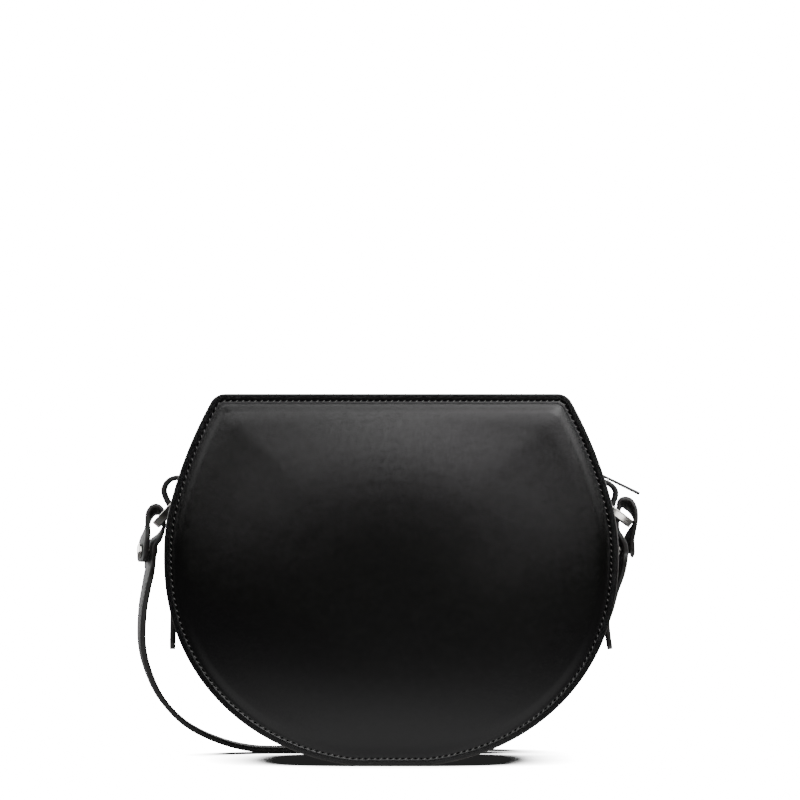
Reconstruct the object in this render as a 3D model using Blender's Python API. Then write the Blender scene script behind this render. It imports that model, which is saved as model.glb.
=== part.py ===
"""Half moon shoulder bag on its strap, built piece by piece as closed solids.

Metres, z up. The front of the bag faces -Y. The pieces are laid out round the bag's own middle plane,
and one empty then carries them so that the origin is the middle of the floor that the object covers.
"""

import math

import bmesh
import bpy
from mathutils import Matrix, Vector

# Outline of the two end panels
HALF_WIDTH = 0.110
HEIGHT = 0.180
WIDEST_Z_SHARE = 0.5611
BASE_CUT = 0.001
LOWER_CURVE_SHARE = 2.13
SIDE_STRAIGHT = 0.002
SHOULDER_RADIUS = 0.091
SHOULDER_TURN = math.radians(14)
SIDE_RADIUS = 0.210
CORNER_RADIUS = 0.008
SEAM_RISE = 0.0383

# Depth of the bag and the layers of its walls
HALF_DEPTH = 0.035
FIT = 0.0003
PANEL_LEATHER = 0.0015
BOARD = 0.0010
LINING = 0.0007
GUSSET_LEATHER = 0.0014
SEAM_WIDTH = 0.0040
MARGIN = 0.0045
ROLL_WIDTH = 0.0050
DOME_RISE = 0.0055
EDGE_ROUND = 0.0004
DOME_CENTRE_SHARE = 0.528
ROLL_SHARES = ((0.0, 0.0), (0.45, 0.07), (1.0, 0.20))
DOME_SHARES = ((1.0, 0.20), (0.85, 0.51), (0.60, 0.83), (0.30, 1.0))
BOARD_EDGE_SHARE = 0.975

# Zip
SLOT_WIDTH = 0.011
TAPE_THICKNESS = 0.0007
TAPE_WIDTH = 0.0106
TAPE_SETBACK = 0.0024
TOOTH_PITCH = 0.0030
TOOTH_WIDTH_SHARE = 0.40
TOOTH_REACH = 0.0033
TOOTH_THICKNESS = 0.0022
SLIDER_LENGTH = 0.0090
SLIDER_WIDTH = 0.0092
SLIDER_PLATE = 0.0009
SLIDER_RIM = 0.0008
SLIDER_RISE = 0.0047
BRIDGE_WIDTH = 0.0020
BRIDGE_BAR = 0.0011
STOP_LENGTH = 0.0022
PULL_LENGTH = 0.0245
PULL_WIDTH = 0.0070
PULL_THICKNESS = 0.0009
PULL_EYE_RADIUS = 0.0013
PULL_DROOP = math.radians(26.2)

# Side tabs, rings and the strap that they carry
STRAP_WIDTH = 0.0120
STRAP_THICKNESS = 0.0028
TAB_THICKNESS = 0.0024
TAB_LOOP_REACH = 0.0092
TAB_LOOP_HEIGHT = 0.0200
TAB_SEWN_LENGTH = 0.0279
TAB_TAIL = 0.0354
RING_SPAN = 0.0150
RING_BAR = 0.0015
RING_DEPTH = 0.0040
RING_CORNER = 0.0010
RING_CHAMFER = 0.0003
RING_SLACK = 0.0010
LEFT_RING_SEAT = 0.002757
RIGHT_RING_SEAT = 0.002301
LEFT_RING_FALL = 0.0120
RIGHT_RING_FALL = 0.0137
LEFT_RING_DROOP = math.radians(47.5)
RIGHT_RING_DROOP = math.radians(37.0)
STRAP_LOOP = 0.0260
STRAP_TWIST = math.radians(20)
RIVET_POST_RADIUS = 0.0015
RIVET_HEAD_RADIUS = 0.0037
RIVET_HEAD_RISE = 0.0011
RIVET_CAP_RADIUS = 0.0026
HEAD_SHARES = ((0.45, 1.0), (0.85, 0.75), (1.0, 0.3), (1.0, 0.0))
CAP_SHARES = ((1.0, 0.0), (1.0, 0.4), (0.7, 0.8))

# Buckle that joins the two straps, flat on the floor behind the bag
BUCKLE_X = -0.008
BUCKLE_LENGTH = 0.0160
BUCKLE_BAR = 0.0012
BUCKLE_TILT = math.radians(12)
SKIVED = 0.0014
STRAP_END_THICKNESS = 0.0020
PRONG_THICKNESS = 0.0010
PRONG_WIDTH = 0.0020
HOLE_PITCH = 0.0090
HOLE_LENGTH = 0.0070
HOLE_WIDTH = 0.0032
HOLE_SETBACK = 0.0042
HOLE_STEPS = (-2, -1, 0, 1, 2, 3, 4)
TIP_SHARES = (0.8, 0.3)
KEEPER_LEATHER = 0.0012
KEEPER_WIDTH = 0.0050
KEEPER_REACH = 0.0210
FOLD_LENGTH = 0.0110
FOLD_TURNS = (-90, -130, -170, 150, 110, 80)
PRONG_TURNS = (-150, -115, -80, -45, -10, 25, 55, 78)
STRAP_TIP_REACH = 0.0370

# Number of steps round each curve
LOWER_STEPS = 12
SHOULDER_STEPS = 2
SIDE_STEPS = 2
CORNER_STEPS = 3
TOP_SHARES = (0.6, 0.2)
SPLINE_STEPS = 3
BAR_SIDES = 8
RIVET_SIDES = 16
BORE_SIDES = 12
SEWN_STEPS = 4

# Side tab loops: height above the foot of the loop, distance out from the gusset
LEFT_TAB_SHARES = ((1.0, 0.075), (1.035, 0.42), (1.053, 0.75), (1.0, 1.05), (0.876, 1.20), (0.735, 1.19),
                   (0.575, 1.0), (0.398, 0.70), (0.239, 0.44), (0.10, 0.23))
RIGHT_TAB_SHARES = ((0.965, 0.075), (0.973, 0.42), (0.938, 0.68), (0.823, 0.95), (0.699, 1.0),
                    (0.575, 0.89), (0.434, 0.70), (0.283, 0.54), (0.12, 0.31))
# Free tails: fall below the last stitch, distance out from that stitch, in shares of the tail's length
LEFT_TAIL_SHARES = ((0.25, 0.004), (0.55, 0.012), (1.0, 0.022))
RIGHT_TAIL_SHARES = ((0.28, -0.020), (0.52, -0.032), (0.76, -0.016), (1.0, 0.018))

# Strap loops: distance out from the ring's outer bar, height above it, thickness
LEFT_LOOP_SHARES = (
    (0.274, -0.723, 1.00), (0.270, -0.577, 1.00), (0.258, -0.431, 1.00), (0.228, -0.277, 1.00),
    (0.190, -0.123, 0.93), (0.172, 0.054, 0.86), (0.115, 0.208, 0.79), (0.008, 0.273, 0.71),
    (-0.092, 0.200, 0.64), (-0.127, 0.046, 0.61), (-0.115, -0.096, 0.64), (-0.048, -0.238, 0.79),
    (0.074, -0.369, 0.93), (0.112, -0.508, 1.00), (0.130, -0.700, 1.00), (0.150, -0.912, 1.00),
)
RIGHT_LOOP_SHARES = (
    (-0.020, -0.581, 0.93), (-0.009, -0.450, 0.93), (0.004, -0.296, 0.93), (0.054, -0.158, 0.86),
    (0.104, -0.027, 0.71), (0.115, 0.096, 0.64), (0.065, 0.250, 0.71), (-0.031, 0.369, 0.79),
    (-0.138, 0.388, 0.79), (-0.196, 0.296, 0.79), (-0.215, 0.150, 0.75), (-0.242, -0.004, 0.79),
    (-0.235, -0.150, 0.86), (-0.181, -0.281, 0.93), (-0.138, -0.412, 1.00), (-0.131, -0.565, 1.00),
    (-0.146, -0.758, 1.00),
)
# Turn of the strap about its own length at each of the loop's points, and how far its layers lean
LEFT_TWIST_SHARES = (-1.0, -1.0, -0.95, -0.8, -0.4, 0, 0.7, 1.2, 0.7, 0.1, 0.2, 0.5, 0.8, 0.95, 1.0, 0.9)
LEFT_LEAN_SHARES = (1.0, 1.0, 0.95, 0.8, 0.4, 0.1, 0, 0, 0, 0, 0.2, 0.5, 0.8, 0.95, 1.0, 0.9)
RIGHT_TWIST_SHARES = (-0.8, -0.8, -0.6, -0.3, 0, -0.1, -0.7, -1.2, -1.0, -0.3, 0, 0, 0.1, 0.4, 0.7, 0.8, 0.6)
RIGHT_LEAN_SHARES = (0.8, 0.8, 0.6, 0.3, 0.1, 0, 0, 0, 0, 0, 0, 0, 0.1, 0.4, 0.7, 0.8, 0.6)
# Route of each strap: across in half widths, back in half depths, and up in shares of the height at
# which the strap leaves its loop
LONG_ROUTE_SHARES = (
    (-1.099, 0.131, 0.914), (-1.122, 0.329, 0.774), (-1.129, 0.471, 0.601), (-1.105, 0.626, 0.449),
    (-1.047, 0.771, 0.294), (-0.945, 0.903, 0.158), (-0.809, 1.040, 0.066), (-0.655, 1.189, 0.012),
    (-0.473, 1.274, 0.000), (-0.182, 1.286, 0.000), (0.145, 1.286, 0.000), (0.309, 1.303, 0.023),
    (0.455, 1.343, 0.089), (0.573, 1.383, 0.202), (0.659, 1.417, 0.354), (0.705, 1.440, 0.539),
    (0.714, 1.457, 0.743), (0.682, 1.480, 0.980), (0.582, 1.509, 1.220), (0.400, 1.543, 1.401),
    (0.200, 1.571, 1.486), (0.000, 1.600, 1.519), (-0.200, 1.629, 1.486), (-0.400, 1.663, 1.401),
    (-0.582, 1.691, 1.220), (-0.682, 1.714, 0.980), (-0.714, 1.726, 0.743), (-0.705, 1.734, 0.539),
    (-0.659, 1.737, 0.354), (-0.573, 1.737, 0.202), (-0.473, 1.737, 0.082), (-0.373, 1.737, 0.016),
)
LONG_TWIST_SHARES = (0.8, 0.7, 0.6, 0.5, 0.35, 0.2, 0.1)
SHORT_TWIST_SHARES = (0.5, 0.35, 0.2, 0.1)
SHORT_ROUTE_SHARES = (
    (1.022, 0.149, 0.925), (1.005, 0.314, 0.849), (0.989, 0.560, 0.754), (0.969, 0.760, 0.667),
    (0.945, 0.926, 0.595), (0.911, 1.086, 0.513), (0.862, 1.240, 0.424), (0.795, 1.400, 0.336),
    (0.718, 1.537, 0.242), (0.627, 1.646, 0.141), (0.523, 1.714, 0.058), (0.418, 1.737, 0.013),
)

LEATHER = ("leather", (0.012, 0.012, 0.013), 0.38, 0.0)
EDGE_LEATHER = ("gusset_leather", (0.014, 0.014, 0.015), 0.45, 0.0)
STRAP_LEATHER = ("strap_leather", (0.016, 0.016, 0.017), 0.42, 0.0)
BOARD_STUFF = ("board", (0.30, 0.24, 0.16), 0.90, 0.0)
LINING_CLOTH = ("lining", (0.05, 0.05, 0.06), 0.85, 0.0)
TAPE_CLOTH = ("zip_tape", (0.015, 0.015, 0.016), 0.70, 0.0)
NICKEL = ("nickel", (0.72, 0.70, 0.66), 0.18, 1.0)
DARK_NICKEL = ("dark_nickel", (0.09, 0.09, 0.10), 0.30, 1.0)


def empty_scene():
    for obj in list(bpy.data.objects):
        bpy.data.objects.remove(obj, do_unlink=True)


def finish_named(name, colour, roughness, metallic):
    """The material of that name, made once."""
    made = bpy.data.materials.get(name) or bpy.data.materials.new(name)
    made.use_nodes = True
    shader = made.node_tree.nodes["Principled BSDF"]
    shader.inputs["Base Color"].default_value = (*colour, 1)
    shader.inputs["Roughness"].default_value = roughness
    shader.inputs["Metallic"].default_value = metallic
    return made


def carrier(name, place, parent=None):
    """An empty at a point given in the bag's own coordinates."""
    made = bpy.data.objects.new(name, None)
    bpy.context.scene.collection.objects.link(made)
    if parent:
        made.parent = parent
        made.location = Vector(place) - parent_place(parent)
    else:
        made.location = place
    return made


def parent_place(obj):
    """Where an object's origin lies in the bag's own coordinates."""
    place = Vector()
    while obj.parent:
        place += obj.location
        obj = obj.parent
    return place


def face_out(mesh):
    """Turns every face of a closed mesh outwards."""
    bmesh.ops.recalc_face_normals(mesh, faces=mesh.faces)
    if mesh.calc_volume(signed=True) < 0:
        bmesh.ops.reverse_faces(mesh, faces=mesh.faces)


def body(name, mesh, finish, parent, place=(0, 0, 0), rounded=False):
    """An object from a bmesh in the bag's own coordinates, with its origin at place."""
    place = Vector(place)
    face_out(mesh)
    bmesh.ops.translate(mesh, verts=mesh.verts, vec=-place)
    for face in mesh.faces:
        face.smooth = rounded
    data = bpy.data.meshes.new(name)
    mesh.to_mesh(data)
    mesh.free()
    made = bpy.data.objects.new(name, data)
    data.materials.append(finish_named(*finish))
    bpy.context.scene.collection.objects.link(made)
    made.parent = parent
    made.location = place - parent_place(parent)
    return made


def helper(name, mesh, target, operation="DIFFERENCE"):
    """A hidden solid that is taken out of the target, or joined to it."""
    face_out(mesh)
    data = bpy.data.meshes.new(name)
    mesh.to_mesh(data)
    mesh.free()
    made = bpy.data.objects.new(name, data)
    bpy.context.scene.collection.objects.link(made)
    made.parent = target
    made.matrix_parent_inverse = Matrix.Translation(-parent_place(target))
    made.hide_render = True
    made.display_type = "WIRE"
    cut = target.modifiers.new(name, "BOOLEAN")
    cut.operation = operation
    cut.solver = "EXACT"
    cut.object = made
    return made


def add_loft(mesh, sections, closed=False):
    """Adds a body through the sections, each a list of points in the same order."""
    rings = [[mesh.verts.new(point) for point in section] for section in sections]
    following = rings[1:] + rings[:1] if closed else rings[1:]
    for first, second in zip(rings, following):
        for i in range(len(first)):
            mesh.faces.new((first[i - 1], first[i], second[i], second[i - 1]))
    if not closed:
        mesh.faces.new(rings[0])
        mesh.faces.new(rings[-1])
    return mesh


def loft(sections, closed=False):
    return add_loft(bmesh.new(), sections, closed)


def spline(rows, steps=SPLINE_STEPS):
    """A smooth line through rows of numbers, with the given number of steps between two rows."""
    rows = [Vector(row) for row in rows]
    ends = [rows[0] * 2 - rows[1]] + rows + [rows[-1] * 2 - rows[-2]]
    made = []
    for before, start, end, after in zip(ends, ends[1:], ends[2:], ends[3:]):
        for i in range(steps):
            t = i / steps
            slope_in = (end - before) / 2
            slope_out = (after - start) / 2
            made.append(
                start * (2 * t**3 - 3 * t**2 + 1) + slope_in * (t**3 - 2 * t**2 + t)
                + end * (3 * t**2 - 2 * t**3) + slope_out * (t**3 - t**2)
            )
    return made + [rows[-1]]


def frames(points):
    """For each point of a line: the direction along it, the face's normal and the direction across."""
    made = []
    for i, point in enumerate(points):
        along = (points[min(i + 1, len(points) - 1)] - points[max(i - 1, 0)]).normalized()
        face = Vector((-along.z, 0, along.x)).normalized()
        made.append((along, face, face.cross(along).normalized()))
    return made


def ribbon(points, thicknesses, width, twists=None, edge_share=0.30):
    """Sections of a strip with rounded edges: flat faces, and edges that bulge between them."""
    twists = twists or [0] * len(points)
    sections = []
    for point, thickness, twist, (along, face, across) in zip(points, thicknesses, twists, frames(points)):
        turned = Matrix.Rotation(-twist, 3, along)
        up = (turned @ face) * thickness / 2
        side = (turned @ across) * width / 2
        inset = (turned @ across) * thickness * edge_share
        sections.append([
            point + up - side + inset, point + up + side - inset, point + side,
            point - up + side - inset, point - up - side + inset, point - side,
        ])
    return sections


def bar_section(half_across, half_out, chamfer):
    """A rectangle with chamfered corners, as pairs of numbers."""
    return [
        (half_across - chamfer, half_out), (half_across, half_out - chamfer),
        (half_across, chamfer - half_out), (half_across - chamfer, -half_out),
        (chamfer - half_across, -half_out), (-half_across, chamfer - half_out),
        (-half_across, half_out - chamfer), (chamfer - half_across, half_out),
    ]


def band_loop(centre, first, second, half_first, half_second, corner, section, corner_steps=3):
    """Sections of a closed rectangular loop with rounded corners, lying across two directions."""
    first = Vector(first).normalized()
    second = Vector(second).normalized()
    out = first.cross(second)
    sections = []
    for quarter in range(4):
        sign_first = 1 if quarter in (0, 3) else -1
        sign_second = 1 if quarter < 2 else -1
        middle = centre + first * sign_first * (half_first - corner) + second * sign_second * (half_second - corner)
        for i in range(corner_steps + 1):
            angle = math.pi / 2 * (quarter + i / corner_steps)
            radial = first * math.cos(angle) + second * math.sin(angle)
            sections.append([middle + radial * (corner + a) + out * b for a, b in section])
    return sections


def turned(centre, axis, profile, sides=RIVET_SIDES):
    """Sections of a body of revolution: the profile is pairs of radius and distance along the axis."""
    axis = Vector(axis).normalized()
    across = axis.orthogonal().normalized()
    other = axis.cross(across)
    sections = []
    for radius, reach in profile:
        sections.append([
            centre + axis * reach + (across * math.cos(turn) + other * math.sin(turn)) * radius
            for turn in (2 * math.pi * i / sides for i in range(sides))
        ])
    return sections


def box_sections(low, high):
    """A box between two corners as a pair of sections."""
    return [
        [Vector((x, y, z)) for x, y in ((low[0], low[1]), (high[0], low[1]), (high[0], high[1]), (low[0], high[1]))]
        for z in (low[2], high[2])
    ]


# Outline: lists of pairs of a point and its outward direction, as (x, z) vectors


def widest_z():
    """Height at which the bag is widest."""
    return HEIGHT * WIDEST_Z_SHARE


def seam_z():
    """Height of the side seams, where the band round the base meets the strips beside the zip."""
    return widest_z() + SEAM_RISE


def side_centre():
    """Centre of the long side arc of the right half."""
    shoulder = Vector((HALF_WIDTH - SHOULDER_RADIUS, widest_z() + SIDE_STRAIGHT))
    reach = SHOULDER_RADIUS - SIDE_RADIUS
    return shoulder + reach * Vector((math.cos(SHOULDER_TURN), math.sin(SHOULDER_TURN)))


def arc(centre, radius, start, end, steps):
    made = []
    for i in range(steps + 1):
        turn = start + (end - start) * i / steps
        outward = Vector((math.cos(turn), math.sin(turn)))
        made.append((centre + radius * outward, outward))
    return made


def seam_turn(z):
    """Angle on the side arc at the given height."""
    return math.asin((z - side_centre().y) / SIDE_RADIUS)


def right_lower():
    """From the flat base up to the seam."""
    power = LOWER_CURVE_SHARE
    drop = widest_z() + BASE_CUT
    start = math.acos((widest_z() / drop) ** (power / 2))
    made = []
    for i in range(LOWER_STEPS + 1):
        turn = start + (math.pi / 2 - start) * i / LOWER_STEPS
        x_share = math.sin(turn) ** (2 / power)
        z_share = max(math.cos(turn), 0) ** (2 / power)
        outward = Vector((x_share ** (power - 1) / HALF_WIDTH, -(z_share ** (power - 1)) / drop))
        made.append((Vector((HALF_WIDTH * x_share, widest_z() - drop * z_share)), outward.normalized()))
    point, outward = made[0]
    made[0] = (Vector((point.x, 0)), (outward + Vector((0, -1))).normalized())
    shoulder = Vector((HALF_WIDTH - SHOULDER_RADIUS, widest_z() + SIDE_STRAIGHT))
    made += arc(shoulder, SHOULDER_RADIUS, 0, SHOULDER_TURN, SHOULDER_STEPS)
    last = seam_turn(seam_z()) - FIT / 2 / SIDE_RADIUS
    return made + arc(side_centre(), SIDE_RADIUS, SHOULDER_TURN, last, SIDE_STEPS)[1:]


def right_upper():
    """From the seam to the middle of the top."""
    centre = side_centre()
    inner = SIDE_RADIUS - CORNER_RADIUS
    corner_z = HEIGHT - CORNER_RADIUS
    last = math.asin((corner_z - centre.y) / inner)
    corner = Vector((centre.x + inner * math.cos(last), corner_z))
    first = seam_turn(seam_z()) + FIT / 2 / SIDE_RADIUS
    made = arc(centre, SIDE_RADIUS, first, last, SIDE_STEPS)
    made += arc(corner, CORNER_RADIUS, last, math.pi / 2, CORNER_STEPS)[1:]
    return made + [(Vector((corner.x * share, HEIGHT)), Vector((0, 1))) for share in TOP_SHARES]


def mirrored(stations):
    return [(Vector((-point.x, point.y)), Vector((-outward.x, outward.y))) for point, outward in reversed(stations)]


def whole_outline():
    right = right_lower() + right_upper()[1:]
    return right + mirrored(right)


def set_in(stations, offset):
    return [point - outward * offset for point, outward in stations]


# Panels and their hidden layers


def between(table, share):
    """Straight interpolation in a table of pairs that runs up or down in its first number."""
    for (start, low), (end, high) in zip(table, table[1:]):
        if min(start, end) <= share <= max(start, end):
            return low + (high - low) * (share - start) / (end - start)
    return table[-1][1]


INNER_DOME_SHARES = tuple(row for row in DOME_SHARES if row[0] != DOME_SHARES[1][0])


def edge_ring(stations, side, offset, depth):
    """A ring at an offset inside the outline, at a depth behind the panel's outer face."""
    rise = DOME_RISE * between(ROLL_SHARES, min(max((offset - MARGIN) / ROLL_WIDTH, 0), 1))
    y = side * (HALF_DEPTH + rise - depth)
    return [Vector((point.x, y, point.y)) for point in set_in(stations, offset)]


def dome_ring(stations, side, share, depth, table):
    """A ring of the dome, drawn in towards the middle of the panel."""
    y = side * (HALF_DEPTH + DOME_RISE * between(table, share) - depth)
    middle = Vector((0, HEIGHT * DOME_CENTRE_SHARE))
    rim = set_in(stations, MARGIN + ROLL_WIDTH)
    return [Vector(((middle + (point - middle) * share).x, y, (middle + (point - middle) * share).y)) for point in rim]


def panel_rings(stations, side):
    roll = MARGIN + ROLL_WIDTH * ROLL_SHARES[1][0]
    inside = [dome_ring(stations, side, share, PANEL_LEATHER, INNER_DOME_SHARES)
              for share, _ in reversed(INNER_DOME_SHARES)]
    inside += [edge_ring(stations, side, offset, PANEL_LEATHER) for offset in (roll, MARGIN, EDGE_ROUND)]
    rim = [edge_ring(stations, side, 0, PANEL_LEATHER - EDGE_ROUND), edge_ring(stations, side, 0, EDGE_ROUND)]
    outside = [edge_ring(stations, side, offset, 0) for offset in (EDGE_ROUND, MARGIN, roll)]
    return inside + rim + outside + [dome_ring(stations, side, share, 0, DOME_SHARES) for share, _ in DOME_SHARES]


def layer_rings(stations, side, depth, thickness, first_rings):
    """A thin layer behind the panel: its edge rings come from first_rings, called with a depth."""
    shares = [share for share, _ in INNER_DOME_SHARES[1:]]
    front = first_rings(depth) + [dome_ring(stations, side, s, depth, INNER_DOME_SHARES) for s in shares]
    back = first_rings(depth + thickness) + [
        dome_ring(stations, side, s, depth + thickness, INNER_DOME_SHARES) for s in shares
    ]
    return back[::-1] + front


def build_end(side, name, parent):
    """One end of the bag: the leather panel, the board behind it and the lining behind that."""
    stations = whole_outline()
    body(name + "_panel", loft(panel_rings(stations, side)), LEATHER, parent, rounded=True)
    right = (right_lower() + right_upper()[1:])[::2]
    coarse = right + mirrored(right)
    board_depth = PANEL_LEATHER + FIT
    board = layer_rings(
        coarse, side, board_depth, BOARD,
        lambda depth: [dome_ring(coarse, side, BOARD_EDGE_SHARE, depth, INNER_DOME_SHARES)],
    )
    body(name + "_stiffener", loft(board), BOARD_STUFF, parent, rounded=True)
    web_inside = SEAM_WIDTH + GUSSET_LEATHER + FIT
    cloth = layer_rings(
        coarse, side, board_depth + BOARD + FIT, LINING,
        lambda depth: [
            edge_ring(coarse, side, web_inside, depth),
            dome_ring(coarse, side, INNER_DOME_SHARES[0][0], depth, INNER_DOME_SHARES),
        ],
    )
    body(name + "_lining", loft(cloth), LINING_CLOTH, parent, rounded=True)


# Gussets


def swept(stations, profile):
    """Sections of a profile of (offset, y) pairs carried along outline stations."""
    return [
        [Vector(((point - outward * offset).x, y, (point - outward * offset).y)) for offset, y in profile]
        for point, outward in stations
    ]


def build_gussets(parent):
    """The band round the sides and base, its lining, and the two strips beside the zip."""
    outer = HALF_DEPTH - PANEL_LEATHER - FIT
    inner = outer - GUSSET_LEATHER
    web = SEAM_WIDTH
    back_face = SEAM_WIDTH + GUSSET_LEATHER
    lower = mirrored(right_lower()) + right_lower()
    upper = right_upper() + mirrored(right_upper())
    channel = [(0, -outer), (0, -inner), (web, -inner), (web, inner), (0, inner), (0, outer),
               (back_face, outer), (back_face, -outer)]
    body("lower_gusset", loft(swept(lower, channel)), EDGE_LEATHER, parent, rounded=False)
    lining_depth = PANEL_LEATHER + FIT + BOARD + FIT + LINING + FIT
    reach = HALF_DEPTH - lining_depth
    cloth = [(back_face + FIT, -reach), (back_face + FIT, reach),
             (back_face + FIT + LINING, reach), (back_face + FIT + LINING, -reach)]
    body("gusset_lining", loft(swept(lower, cloth)), LINING_CLOTH, parent)
    slot = SLOT_WIDTH / 2
    for side, name in ((-1, "zip_gusset_front"), (1, "zip_gusset_back")):
        strip = [(0, outer), (0, inner), (web, inner), (web, slot), (back_face, slot), (back_face, outer)]
        body(name, loft(swept(upper, [(offset, side * y) for offset, y in strip])), EDGE_LEATHER, parent)


# Zip


def place_on(stations, offset, step):
    """The point at a fractional step along the stations, on the straight line between its neighbours."""
    first = min(int(step), len(stations) - 2)
    ends = set_in(stations[first:first + 2], offset)
    return ends[0].lerp(ends[1], step - first)


def steps_at(stations, offset, distances):
    """Fractional steps along the stations for distances measured at an offset."""
    points = set_in(stations, offset)
    lengths = [(b - a).length for a, b in zip(points, points[1:])]
    made = []
    for distance in distances:
        first = 0
        while first < len(lengths) - 1 and distance > lengths[first]:
            distance -= lengths[first]
            first += 1
        made.append(first + min(distance / lengths[first], 1))
    return made


def path_length(stations, offset):
    points = set_in(stations, offset)
    return sum((b - a).length for a, b in zip(points, points[1:]))


def chain_offset():
    """How far the middle of the zip lies inside the outline."""
    return SEAM_WIDTH + GUSSET_LEATHER + FIT + TAPE_THICKNESS / 2


def slider_along():
    """Distance along the zip from the right seam to the middle of the slider."""
    turn = seam_turn(seam_z() + SLIDER_RISE) - seam_turn(seam_z()) - FIT / 2 / SIDE_RADIUS
    return turn * (SIDE_RADIUS - chain_offset())


def toothed_edge(stations, side):
    """The zip tape's inner edge as (step, y) pairs: straight past the slider, then teeth."""
    offset = chain_offset()
    total = path_length(stations, offset)
    start = slider_along() + FIT
    count = int((total - start - TOOTH_PITCH - STOP_LENGTH) / TOOTH_PITCH)
    width = TOOTH_PITCH * TOOTH_WIDTH_SHARE
    near = TAPE_SETBACK
    far = TAPE_SETBACK - TOOTH_REACH
    shift = 0 if side < 0 else TOOTH_PITCH / 2
    edge = [(0.0, near)]
    for i in range(count):
        begin = start + shift + i * TOOTH_PITCH
        first, last = steps_at(stations, offset, (begin, begin + width))
        edge += [(first, near), (first, far), (last, far), (last, near)]
    edge.append((float(len(stations) - 1), near))
    filled = []
    for (step, y), (next_step, next_y) in zip(edge, edge[1:]):
        filled.append((step, y))
        filled += [(float(k), y) for k in range(int(step) + 1, math.ceil(next_step)) if y == next_y and k > step]
    return filled + [edge[-1]]


def tape_mesh(stations, side):
    """A cloth tape with a thicker band along its inner edge, cut into teeth."""
    mesh = bmesh.new()
    middle = chain_offset()
    band_y = TAPE_SETBACK + BRIDGE_BAR
    outer_y = TAPE_SETBACK + TAPE_WIDTH
    thin = TAPE_THICKNESS / 2
    thick = TOOTH_THICKNESS / 2

    def vertex(step, offset, y):
        point = place_on(stations, offset, step)
        return mesh.verts.new((point.x, side * y, point.y))

    rails = [[vertex(float(k), middle + a, y) for a, y in (
        (-thick, band_y), (-thin, band_y), (-thin, outer_y), (thin, outer_y), (thin, band_y), (thick, band_y),
    )] for k in range(len(stations))]
    for first, second in zip(rails, rails[1:]):
        for i in range(len(first) - 1):
            mesh.faces.new((first[i], first[i + 1], second[i + 1], second[i]))
    edge = toothed_edge(stations, side)
    front = [(step, vertex(step, middle - thick, y), vertex(step, middle + thick, y)) for step, y in edge]
    for (_, top, low), (_, next_top, next_low) in zip(front, front[1:]):
        mesh.faces.new((top, next_top, next_low, low))
    for k, (first, second) in enumerate(zip(rails, rails[1:])):
        here = [row for row in front if k <= row[0] <= k + 1]
        mesh.faces.new([first[0]] + [row[1] for row in here] + [second[0]])
        mesh.faces.new([first[-1]] + [row[2] for row in here] + [second[-1]])
    for rail, row in ((rails[0], front[0]), (rails[-1], front[-1])):
        mesh.faces.new(rail + [row[2], row[1]])
    return mesh


def slider_frame():
    """Middle of the slider on the zip, and its directions along, across and out."""
    turn = seam_turn(seam_z() + SLIDER_RISE)
    out = Vector((math.cos(turn), 0, math.sin(turn)))
    along = Vector((-math.sin(turn), 0, math.cos(turn)))
    centre = side_centre()
    middle = Vector((centre.x, 0, centre.y)) + out * (SIDE_RADIUS - chain_offset())
    return middle, along, Vector((0, 1, 0)), out


def in_frame(frame, along, across, out):
    middle, direction, side, outward = frame
    return middle + direction * along + side * across + outward * out


def extruded(frame, outline, axis, low, high):
    """Sections of an outline carried along one of the frame's axes: 0 along, 1 across."""
    if axis == 0:
        return [[in_frame(frame, reach, a, b) for a, b in outline] for reach in (low, high)]
    return [[in_frame(frame, a, reach, b) for a, b in outline] for reach in (low, high)]


def pull_pivot():
    """The pull's hinge line, under the bridge of the slider."""
    bar = TOOTH_THICKNESS / 2 + FIT + SLIDER_PLATE + PULL_EYE_RADIUS + PULL_THICKNESS / 2
    return in_frame(slider_frame(), -SLIDER_LENGTH / 6, 0, bar)


def build_slider(parent):
    frame = slider_frame()
    low = TOOTH_THICKNESS / 2 + FIT
    high = low + SLIDER_PLATE
    rim = TAPE_THICKNESS / 2 + FIT
    half = SLIDER_WIDTH / 2
    half_length = SLIDER_LENGTH / 2
    channel = [(-half, high), (half, high), (half, rim), (half - SLIDER_RIM, rim), (half - SLIDER_RIM, low),
               (SLIDER_RIM - half, low), (SLIDER_RIM - half, rim), (-half, rim)]
    mesh = loft(extruded(frame, channel, 0, -half_length, half_length))
    add_loft(mesh, extruded(frame, [(a, -b) for a, b in channel], 0, -half_length, half_length))
    slider = body("zip_slider", mesh, NICKEL, parent, place=slider_hinge())
    wedge = BRIDGE_WIDTH / 2
    middle_plate = (low + high) / 2
    joined = loft(extruded(
        frame, [(-half_length + SLIDER_RIM, -middle_plate), (-SLIDER_RIM, -middle_plate),
                (-SLIDER_RIM, middle_plate), (-half_length + SLIDER_RIM, middle_plate)],
        1, -wedge, wedge,
    ))
    crown = high + PULL_EYE_RADIUS + PULL_THICKNESS + FIT
    foot = middle_plate
    back = half_length - SLIDER_RIM
    add_loft(joined, extruded(
        frame, [
            (-back, foot), (-back, crown), (-back + BRIDGE_BAR, crown + BRIDGE_BAR), (back / 2, crown + BRIDGE_BAR),
            (back, high), (back, foot), (back - BRIDGE_BAR, foot), (back - BRIDGE_BAR, high),
            (back / 2 - BRIDGE_BAR / 2, crown), (BRIDGE_BAR * 3 / 2 - back, crown),
            (BRIDGE_BAR - back, crown - BRIDGE_BAR / 2), (BRIDGE_BAR - back, foot),
        ],
        1, -wedge, wedge,
    ))
    helper("slider_bridge", joined, slider, "UNION")
    return slider


def slider_hinge():
    """The slider turns about the centre of the arc that it runs on."""
    centre = side_centre()
    return Vector((centre.x, 0, centre.y))


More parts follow.
